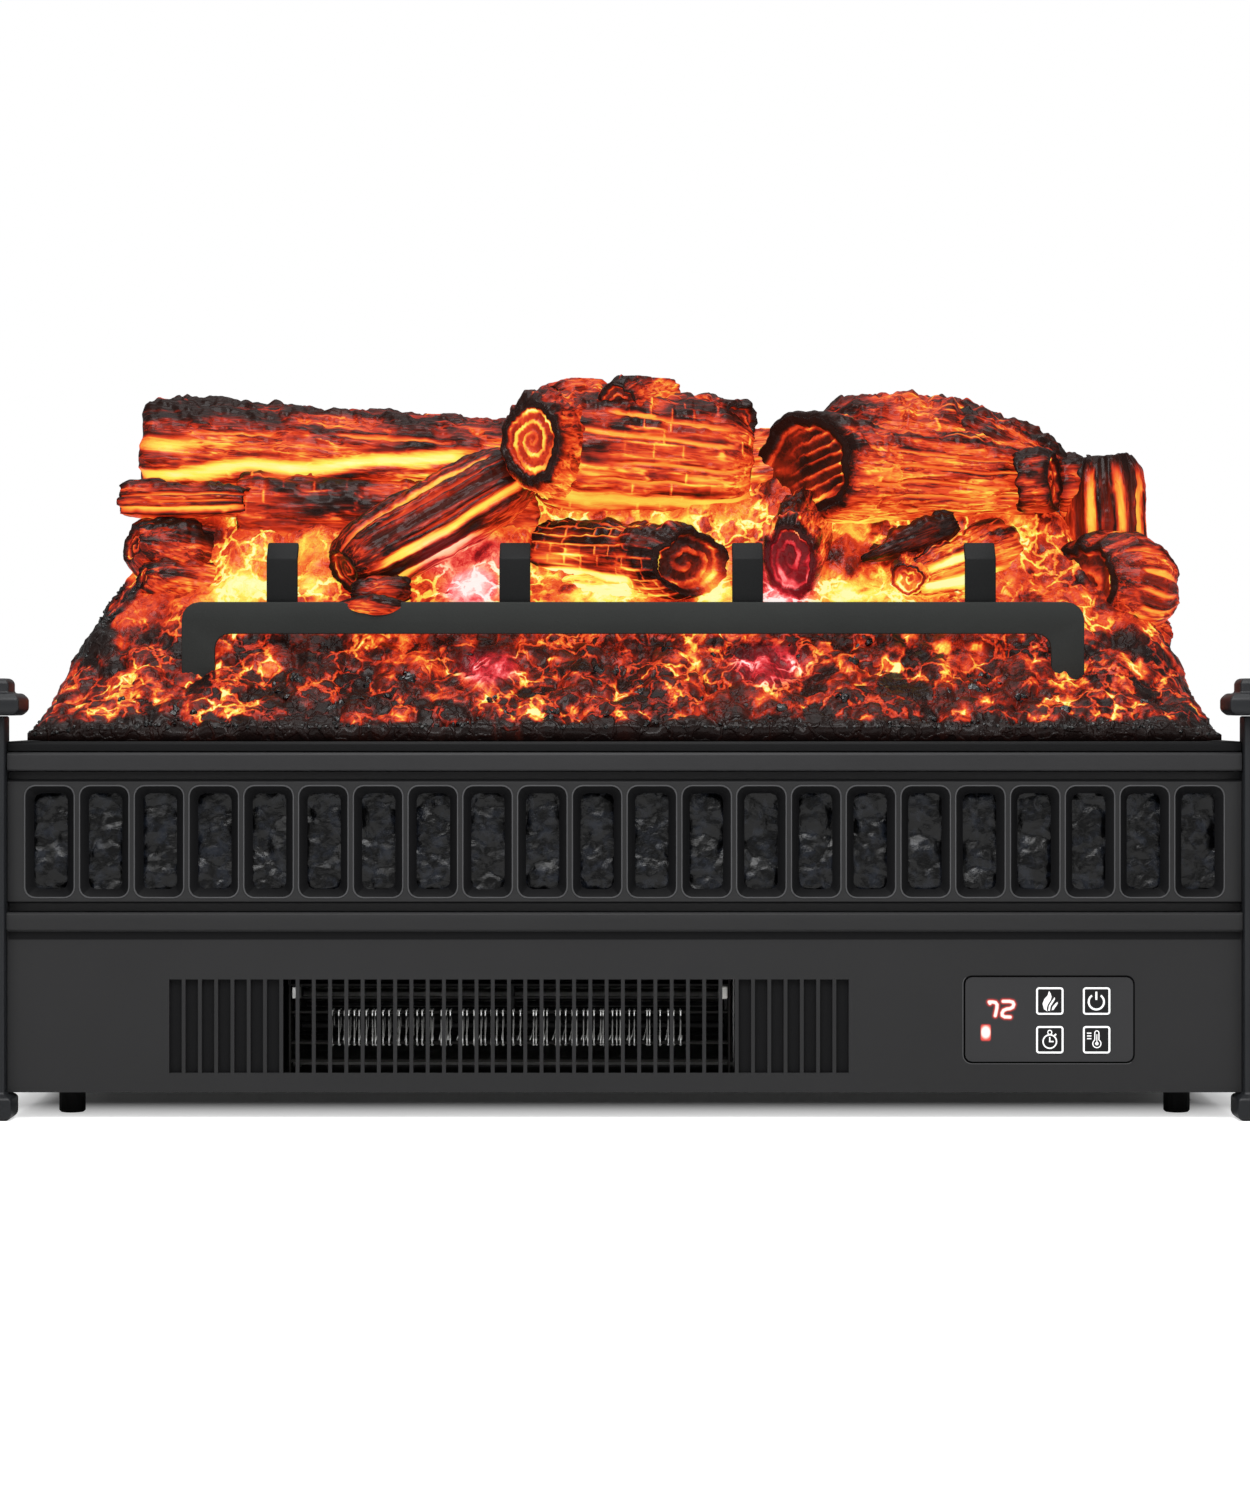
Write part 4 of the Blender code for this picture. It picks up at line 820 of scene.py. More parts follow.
@dataclass
class PhotoFrame:
    """The photograph's own frame, and where its pixels lie in space."""

    width: float = 1250.0
    height: float = 1500.0
    metres_per_pixel: float = 0.000496
    front_y: float = -0.105
    distance: float = 1.8
    centre_x: float = 624.5
    horizon: float = 700.0
    eye_height: float = 0.208

    def place(self, px: float, py: float, y: float) -> Vector:
        """Find the point behind a pixel.

        Args:
            px: the pixel's column.
            py: its row.
            y: the point's depth in metres.

        Returns:
            The point.
        """
        scale = self.metres_per_pixel * (1 + (y - self.front_y) / self.distance)
        return Vector(((px - self.centre_x) * scale, y,
            self.eye_height + (self.horizon - py) * scale))

    def reach(self, pixels: float, y: float) -> float:
        """Return the real length of a count of pixels at a depth."""
        return pixels * self.metres_per_pixel * (1 + (y - self.front_y) / self.distance)

    def add_camera(self) -> None:
        """Make the camera that takes the photograph's view."""
        data = bpy.data.cameras.new("photo_camera")
        data.sensor_fit = 'HORIZONTAL'
        data.sensor_width = 36.0
        data.lens = 36.0 * self.distance / (self.width * self.metres_per_pixel)
        data.shift_x = (self.width / 2 - self.centre_x) / self.width
        data.shift_y = -(self.height / 2 - self.horizon) / self.width
        data.clip_start = 0.01
        data.dof.use_dof = False
        camera = bpy.data.objects.new("photo_camera", data)
        camera.location = (0.0, self.front_y - self.distance, self.eye_height)
        camera.rotation_euler = (math.pi / 2, 0, 0)
        bpy.context.scene.collection.objects.link(camera)
        bpy.context.scene.camera = camera


@dataclass
class Studio:
    """Pale floor, white surroundings and soft lamps."""

    floor_half: float = 3.0
    floor_colour: float = 0.9
    floor_lift: float = 0.57
    shade_lift: float = 0.016
    world_level: float = 0.34
    # The rectangle under the body where the floor's camera-ray glow drops to shade_lift, a painted
    # shadow, and the width of its fade
    shade_half: Point = (0.285, 0.06, 0.0)
    shade_middle: Point = (0.0, 0.04, 0.0)
    shade_fade: float = 0.072
    lamps: tuple[tuple[str, Point, Point, float, float], ...] = (
        ("key_lamp", (-1.1, -1.9, 1.5), (0.0, 0.0, 0.2), 1.3, 14.5),
        ("fill_lamp", (1.5, -1.7, 1.0), (0.0, 0.0, 0.2), 1.3, 8.5),
        ("top_lamp", (0.0, 0.2, 2.0), (0.0, 0.0, 0.2), 1.6, 17.0),
        ("floor_lamp", (0.0, -0.95, 1.3), (0.0, -0.55, 0.0), 0.8, 20.0),
    )

    def build(self) -> None:
        """Make the floor, the world and the lamps."""
        half = self.floor_half
        verts = np.array([(-half, -half, 0), (half, -half, 0), (half, half, 0), (-half, half, 0)])
        floor = new_object("floor", mesh_from("floor", verts, [(0, 1, 2, 3)]),
            self.floor_material())
        floor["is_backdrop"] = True
        world = bpy.data.worlds.new("white_room")
        bpy.context.scene.world = world
        world.use_nodes = True
        sheet = Nodes(world.node_tree)
        path = sheet.out("LightPath").node.outputs
        seen = sheet.math('MAXIMUM', path["Is Camera Ray"], path["Is Transmission Ray"])
        level = sheet.math('MULTIPLY_ADD', seen, 1.0 - self.world_level, self.world_level)
        sheet.fill(world.node_tree.nodes["Background"], Color=(1.0, 1.0, 1.0, 1.0), Strength=level)
        for name, place, target, size, power in self.lamps:
            data = bpy.data.lights.new(name, 'AREA')
            data.shape = 'SQUARE'
            data.size = size
            data.energy = power
            lamp = bpy.data.objects.new(name, data)
            lamp.location = place
            lamp.rotation_mode = 'QUATERNION'
            lamp.rotation_quaternion = (Vector(target) - Vector(place)).to_track_quat('-Z', 'Y')
            bpy.context.scene.collection.objects.link(lamp)

    def floor_material(self) -> Material:
        """Pale floor that the camera sees as white, with a painted shadow under the body, where
        its camera-ray glow drops to a small lift.

        Returns:
            The material.
        """
        material, sheet, shader = begin_material("floor_white")
        parts = sheet.split(sheet.coords())
        outside = None
        for axis in (0, 1):
            gap = sheet.math('SUBTRACT', parts[axis], self.shade_middle[axis])
            gap = sheet.math('SUBTRACT', sheet.math('ABSOLUTE', gap), self.shade_half[axis])
            outside = gap if outside is None else sheet.math('MAXIMUM', outside, gap)
        # Painted shadow: the glow rises from shade_lift under the body to floor_lift outside the
        # rectangle
        lift = sheet.stretch(outside, 0.0, self.shade_fade, self.floor_lift)
        lift = sheet.math('MAXIMUM', lift, self.shade_lift)
        seen = sheet.out("LightPath").node.outputs["Is Camera Ray"]
        sheet.fill(shader, Base_Color=(*(self.floor_colour,) * 3, 1.0), Roughness=0.6,
            Emission_Color=(1.0, 1.0, 1.0, 1.0),
            Emission_Strength=sheet.math('MULTIPLY', seen, lift))
        return material


# Geometry node trees

class Repeater(Nodes):
    """A geometry node tree with named inputs that is baked to one piece."""

    def __init__(self, name: str, **inputs: float) -> None:
        """Start a tree.

        Args:
            name: the piece's name.
            inputs: each input's value; a whole number makes a whole number's socket.
        """
        super().__init__(bpy.data.node_groups.new(name, 'GeometryNodeTree'))
        self.name = name
        face = self.tree.interface
        for way in ('INPUT', 'OUTPUT'):
            face.new_socket("Geometry", in_out=way, socket_type='NodeSocketGeometry')
        self.values = {}
        for label, value in inputs.items():
            kind = "NodeSocketInt" if isinstance(value, int) else "NodeSocketFloat"
            socket = face.new_socket(label.replace("_", " "), in_out='INPUT', socket_type=kind)
            self.values[socket.identifier] = value
        self.source = self.tree.nodes.new("NodeGroupInput")
        self.sink = self.tree.nodes.new("NodeGroupOutput")

    def __getitem__(self, label: str) -> Socket:
        """Return a named input's socket."""
        return self.source.outputs[label]

    def geo(self, kind: str, *items: object, **more: object) -> Socket:
        """Add a geometry node, set it up and return its first output."""
        return self.out("GeometryNode" + kind, *items, **more)

    def tube(self, curve: Socket, radius: Socket, sides: int) -> Socket:
        """Sweep a round bead along a curve and close its ends."""
        bead = self.geo("CurvePrimitiveCircle", Resolution=sides, Radius=radius)
        return self.geo("CurveToMesh", Curve=curve, Profile_Curve=bead, Fill_Caps=True)

    def moved(self, geometry: Socket, turn: Point = (0, 0, 0),
              shift: Point = (0, 0, 0)) -> Socket:
        """Turn and shift a geometry."""
        return self.geo("Transform", Geometry=geometry, Rotation=turn, Translation=shift)

    def copies(self, points: Socket, shape: Socket, **more: object) -> Socket:
        """Set a shape on points, with other inputs of the node if there are any."""
        return self.geo("InstanceOnPoints", Points=points, Instance=shape, **more)

    def bake(self, geometry: Socket, material: Material, base: Mesh | None = None,
             smooth: bool = False) -> Object:
        """Close the tree, run it and turn the result into a plain mesh object.

        Args:
            geometry: the socket that holds the result.
            material: the finish that the tree sets.
            base: a mesh that the tree works on, if it needs one.
            smooth: whether its faces are shaded smooth.

        Returns:
            The plain object, without a modifier.
        """
        whole = self.geo("RealizeInstances", geometry)
        self.fill(self.sink, self.geo("SetMaterial", Geometry=whole, Material=material))
        host = new_object(self.name + "_host", base or bpy.data.meshes.new(self.name + "_host"))
        modifier = host.modifiers.new(self.name, 'NODES')
        modifier.node_group = self.tree
        for key, value in self.values.items():
            modifier[key] = value
        return apply_modifiers(host, self.name, smooth)


# Logs

class Bark(Enum):
    """How a log's side is broken up."""

    STREAKS = "long torn streaks"
    BRICKS = "short brick cells"
    FLUTES = "deep flutes"


class Face(Enum):
    """What a log's end shows."""

    RINGS = "growth rings inside a charred rim"
    SPLIT = "charcoal with bright slanting cracks"


@dataclass
class Band:
    """A broad lit groove along a log.

    The angle is in degrees from the top towards the viewer, the spread is its half width.
    """

    angle: float
    spread: float
    heat: float
    start: float = -1.0
    stop: float = 2.0
    drift: float = 0.0
    depth: float = 0.002

    def dip(self, share: Array, theta: Array, swell: Array,
            lumps: Array) -> tuple[Array, Array]:
        """Work out where the groove runs.

        Args:
            share: the places along the log.
            theta: the angles round it.
            swell: the broad noise.
            lumps: the middle noise.

        Returns:
            How far each place is in the groove, and how far on its lips.
        """
        centre = math.radians(self.angle) + self.drift * (share - 0.5) + 0.12 * swell
        off = np.angle(np.exp(1j * (theta - centre))) / math.radians(self.spread)
        gate = ease_between(self.start - 0.06, self.start + 0.06, share + 0.03 * lumps)
        gate *= 1 - ease_between(self.stop - 0.06, self.stop + 0.06, share + 0.03 * lumps)
        lip = np.exp(-((np.abs(off) - 1.55) ** 2) * 6)
        return np.exp(-np.abs(off) ** 3) * gate, lip * gate


@dataclass
class LogShape:
    """One log, stub or lump of the pile."""

    start: Vector
    end: Vector
    radius_start: float
    radius_end: float
    seed: int
    bark: Bark = Bark.STREAKS
    face: Face = Face.RINGS
    bands: tuple[tuple[float, ...], ...] = ()
    char: float = 0.5
    warmth: float = 0.64
    face_base: float = -0.34
    moat: float = 0.34
    belly: float = 0.0
    ragged: float = 1.0
    skew_start: float = 0.0
    skew_end: float = 0.0
    tall: float = 1.0
    rings: float = 4.0
    around: int = 130
    along: int = 90
    rounding: float = 0.0018
    shrink: float = 0.12
    end_char: float = 0.22
    row_height: float = 0.0052
    brick_length: float = 0.015
    end_steps: int = 16

    def frame(self) -> tuple[Array, Array, Array, float, bool]:
        """Work out the log's own directions.

        Returns:
            The axis, the upward and viewer-side unit vectors, the length and the hand.
        """
        axis = self.end - self.start
        length = axis.length
        axis = axis.normalized()
        guide = Vector((0, 0, 1)) if abs(axis.z) < 0.85 else Vector((0, 1, 0))
        up = (guide - axis * guide.dot(axis)).normalized()
        side = axis.cross(up)
        turned = side.y > 0 or (abs(side.y) < 0.2 and side.x < 0 and abs(axis.y) > 0.9)
        if turned:
            side = -side
        return np.array(axis), np.array(up), np.array(side), length, turned

    def mean_radius(self) -> float:
        """Return the mean of the two end radii."""
        return (self.radius_start + self.radius_end) / 2

    def bricks(self, x: Array, theta: Array, grain: Grain,
               warp: Array) -> tuple[Array, Array]:
        """Crack the bark into bricks.

        Args:
            x: the places along the log in metres.
            theta: the angles round it.
            grain: the log's noise.
            warp: how far each place is shifted.

        Returns:
            The crack lines and a shade for each brick.
        """
        rows = max(6, round(2 * math.pi * self.mean_radius() / self.row_height))
        across = theta / (2 * math.pi) * rows + 0.5 * warp
        row = np.floor(across)
        wrapped = np.mod(row, rows)
        pitch = self.brick_length * (0.7 + 0.9 * self.keyed(grain, wrapped, 5))
        along = x / pitch + 9 * self.keyed(grain, wrapped, 6)
        gap_row = np.abs(across - np.round(across)) * self.row_height
        gap_end = np.abs(along - np.round(along)) * pitch
        spot = np.stack([x / 0.02, across / 3, warp], axis=1)
        fade = ease_between(-0.3, 0.3, grain.layered(spot + 31, 2))
        shut = ease_between(0.35, 0.5, self.keyed(grain, wrapped + 64 * np.round(along), 7))
        lines = (1 - ease_between(0.0002, 0.001, gap_row)) * (0.25 + 0.75 * fade)
        ends = (1 - ease_between(0.0002, 0.0009, gap_end)) * shut
        return np.maximum(lines, 0.8 * ends), self.keyed(grain, wrapped + 64 * np.floor(along), 8)

    @staticmethod
    def keyed(grain: Grain, rows: Array, channel: int) -> Array:
        """Return a repeatable number from 0 to 1 for each row number."""
        return grain.hashed(np.stack([rows, rows * 0], axis=1).astype(np.int64), channel)

    def surface(self, share: Array, theta: Array, grain: Grain,
                length: float) -> tuple[Array, Array, Array]:
        """Work out the bark.

        Args:
            share: the place along the log from 0 to 1.
            theta: the angle from the top, growing towards the viewer.
            grain: the log's noise.
            length: the log's length in metres.

        Returns:
            The radius, the heat before the spots are added, and the fine grain's weight.
        """
        mean = self.mean_radius()
        x = share * length
        spot = np.stack([x, mean * np.cos(theta), mean * np.sin(theta)], axis=1)
        swell = grain.layered(spot / 0.03, 2)
        lumps = grain.layered(spot / 0.01 + 40, 3)
        knobs = grain.layered(spot / 0.0048 + 75, 2)
        long_cut = 0.05 if self.bark is Bark.FLUTES else 0.028
        torn = grain.layered(spot / np.array((long_cut, 0.0058, 0.0058)) + 60, 3)
        fibre = grain.layered(spot / np.array((0.014, 0.0019, 0.0019)) + 90, 3)
        seam = grain.layered(spot / np.array((0.04, 0.0062, 0.0062)) + 130, 2)
        line = ease_between(0.93, 0.99, 1 - np.abs(seam))
        line *= ease_between(-0.25, 0.25, grain.layered(spot / 0.016 + 170, 2))
        facing = np.cos(theta)
        soot = 0.8 * torn + 0.55 * lumps + 0.25 * knobs + 0.3 * facing + self.char - 0.4
        seam_glow, plain = 0.16, 0.9
        if self.bark is Bark.BRICKS:
            seam_glow, plain = 0.28, 0.6
            cracks, shade = self.bricks(x, theta, grain, 0.6 * swell + 0.25 * lumps)
            region = ease_between(-0.25, 0.2, grain.layered(spot / 0.03 + 210, 2))
            line = np.maximum(line * 0.6, cracks * region)
            soot += 0.4 * (shade - 0.5) * region + 0.15 * region
        deep = ease_between(0.42, 0.86, soot)
        soot = ease_between(-0.1, 0.62, soot)
        crest = ease_between(0.45, 0.95, facing + 0.35 * lumps)
        crest *= ease_between(0.1, 0.7, 0.6 * torn + 0.4 * lumps + self.char - 0.15)
        deep = np.maximum(deep, crest)
        heat = self.warmth + 0.1 * swell + 0.17 * fibre + 0.12 * lumps + 0.07 * knobs
        heat += seam_glow * line - (0.24 * soot + 0.26 * deep) * (1 - 0.75 * line)
        relief = 0.0014 * torn + 0.0008 * fibre + 0.001 * lumps + 0.0006 * knobs
        relief += 0.0005 * line
        weight = np.full(len(theta), plain)
        ridge = np.clip(facing - 0.2, 0, 1)
        relief += self.ragged * ridge * (0.0026 * lumps + 0.0014 * torn + 0.0016 * knobs)
        for band in (Band(*row) for row in self.bands):
            dip, lip = band.dip(share, theta, swell, lumps)
            relief -= band.depth * dip
            heat = heat * (1 - dip) + (band.heat + 0.03 * fibre + 0.03 * lumps) * dip
            weight *= 1 - 0.8 * dip
            heat -= 0.26 * lip * (0.7 + 0.5 * lumps)
        radius = self.radius_start + (self.radius_end - self.radius_start) * share
        radius = radius * (1 + self.belly * np.sin(math.pi * share) + 0.08 * swell) + relief
        return radius, heat, weight

    def build(self) -> tuple[Array, list[tuple[int, ...]], Array, Array, Array]:
        """Sculpt the log.

        Returns:
            Its vertices, faces, heat, grain weight and grain coordinates.
        """
        axis, up, side, length, turned = self.frame()
        grain = Grain(self.seed)
        count = self.around
        ease = np.linspace(0, 1, self.along)
        theta = np.linspace(0, 2 * math.pi, count, endpoint=False)
        share_grid, theta_grid = np.meshgrid(ease, theta, indexing='ij')
        share, angle = share_grid.ravel(), theta_grid.ravel()
        radius, heat, weight = self.surface(share, angle, grain, length)
        edge = np.minimum(share, 1 - share) * length
        radius *= 1 - self.shrink * np.exp(-edge / self.rounding)
        heat -= self.end_char * np.exp(-edge / (0.0012 + self.rounding))
        x = self.slant(share * length, radius * np.sin(angle), length)
        ring = np.stack([np.cos(angle) * 3, np.sin(angle) * 3, share * 5], axis=1)
        x = x + 0.0024 * grain.layered(ring + 3, 3) * np.exp(-edge / 0.004)
        parts = [self.points(x, radius, angle, axis, up, side)]
        heats, weights = [heat], [weight]
        fibres = [np.stack([x / 0.018, radius * np.cos(angle) / 0.0017,
            radius * np.sin(angle) / 0.0017], axis=1)]
        pairs = [(i, (i + 1) % count) for i in range(count)]
        total = self.along * count
        faces = [(a + i, a + count + i, a + count + j, a + j)
            for a in range(0, total - count, count) for i, j in pairs]
        for last in (False, True):
            rim, way = ((self.along - 1) * count, -1) if last else (0, 1)
            rows = slice(rim, rim + count)
            verts, hot = self.end_face(last, radius[rows], x[rows], theta, grain, length,
                (axis, up, side))
            centre = total + (self.end_steps - 1) * count
            for start in range(total, centre, count):
                faces += [(rim + i, rim + j, start + j, start + i)[::way] for i, j in pairs]
                rim = start
            faces += [(rim + i, rim + j, centre)[::way] for i, j in pairs]
            parts.append(verts)
            heats.append(hot)
            weights.append(np.full(len(verts), 0.28))
            fibres.append(verts / 0.0026)
            total = centre + 1
        if turned:
            faces = [face[::-1] for face in faces]
        return (np.concatenate(parts), faces, np.concatenate(heats), np.concatenate(weights),
            np.concatenate(fibres))

    def slant(self, x: Array, forward: Array, length: float) -> Array:
        """Shear the ends so that their faces turn to the viewer.

        Args:
            x: the places along the log.
            forward: how far each place lies towards the viewer.
            length: the log's length.

        Returns:
            The new places along the log.
        """
        fade = 2.2 * self.mean_radius()
        near_start = np.clip(1 - x / fade, 0, 1)
        near_end = np.clip(1 - (length - x) / fade, 0, 1)
        return x + self.skew_start * forward * near_start - self.skew_end * forward * near_end

    def points(self, x: Array, radius: Array, theta: Array, axis: Array,
               up: Array, side: Array) -> Array:
        """Return points in space from places along and round the log."""
        return (np.array(self.start) + np.outer(x, axis)
            + np.outer(radius * self.tall * np.cos(theta), up)
            + np.outer(radius * np.sin(theta), side))

    def end_face(self, last: bool, radius: Array, x: Array, theta: Array,
                 grain: Grain, length: float,
                 axes: tuple[Array, ...]) -> tuple[Array, Array]:
        """Make one carved end.

        Args:
            last: whether it is the log's second end.
            radius: the rim's radii.
            x: the rim's places along the axis.
            theta: the rim's angles.
            grain: the log's noise.
            length: the log's length.
            axes: the axis, upward and viewer-side vectors.

        Returns:
            The face's points and their heat.
        """
        sign = 1.0 if last else -1.0
        skew = -self.skew_end if last else self.skew_start
        flat = length if last else 0.0
        points, heats = [], []
        for step in range(1, self.end_steps + 1):
            share = 1 - step / self.end_steps
            turn = theta if share > 0 else theta[:1]
            rim = radius if share > 0 else radius[:1]
            cos, sin = np.cos(turn), np.sin(turn)
            cloud = np.stack([share * 3 * cos, share * 3 * sin, 0 * turn + sign * 5], axis=1)
            wobble = grain.layered(cloud, 3)
            patchy = ease_between(-0.45, 0.25, grain.layered(cloud * 0.8 + 31, 2))
            if self.face is Face.SPLIT:
                slope = share * (cos * 0.9 - sin * 0.42) * 4.6 + 0.45 * wobble
                wave = 1 - np.abs(slope - np.round(slope)) * 2
                line = ease_between(0.55, 0.95, wave) * ease_between(-0.5, 0.2, cloud[:, 1] / 3)
                base = 0.32 + 0.36 * wobble
            else:
                phase = share ** 0.85 * self.rings + turn / (2 * math.pi)
                phase = phase + 0.34 * wobble + 0.24 * np.cos(turn + 0.7) * share
                line = ease_between(0.0, 0.85, np.cos(2 * math.pi * phase))
                line = line * (0.3 + 0.7 * patchy)
                base = self.warmth + self.face_base + 0.16 * wobble
            inner = 1 - ease_between(0.78, 0.84, share + 0.06 * wobble)
            moat = math.exp(-((share - 0.77) / 0.03) ** 2) * (0.35 + 0.65 * patchy)
            heat = base * inner + 0.38 * line * inner + 0.1 * (1 - inner) + self.moat * moat
            depth = -0.0026 * inner + 0.0012 * line * inner + 0.0004 * moat
            depth += 0.0008 * wobble
            bend = ease_between(0.9, 1.0, np.full(len(turn), share))
            place = flat + skew * share * rim * sin
            row_x = x[:len(turn)] * bend + place * (1 - bend) + sign * depth
            points.append(self.points(row_x, rim * share, turn, *axes))
            heats.append(heat)
        return np.concatenate(points), np.concatenate(heats)


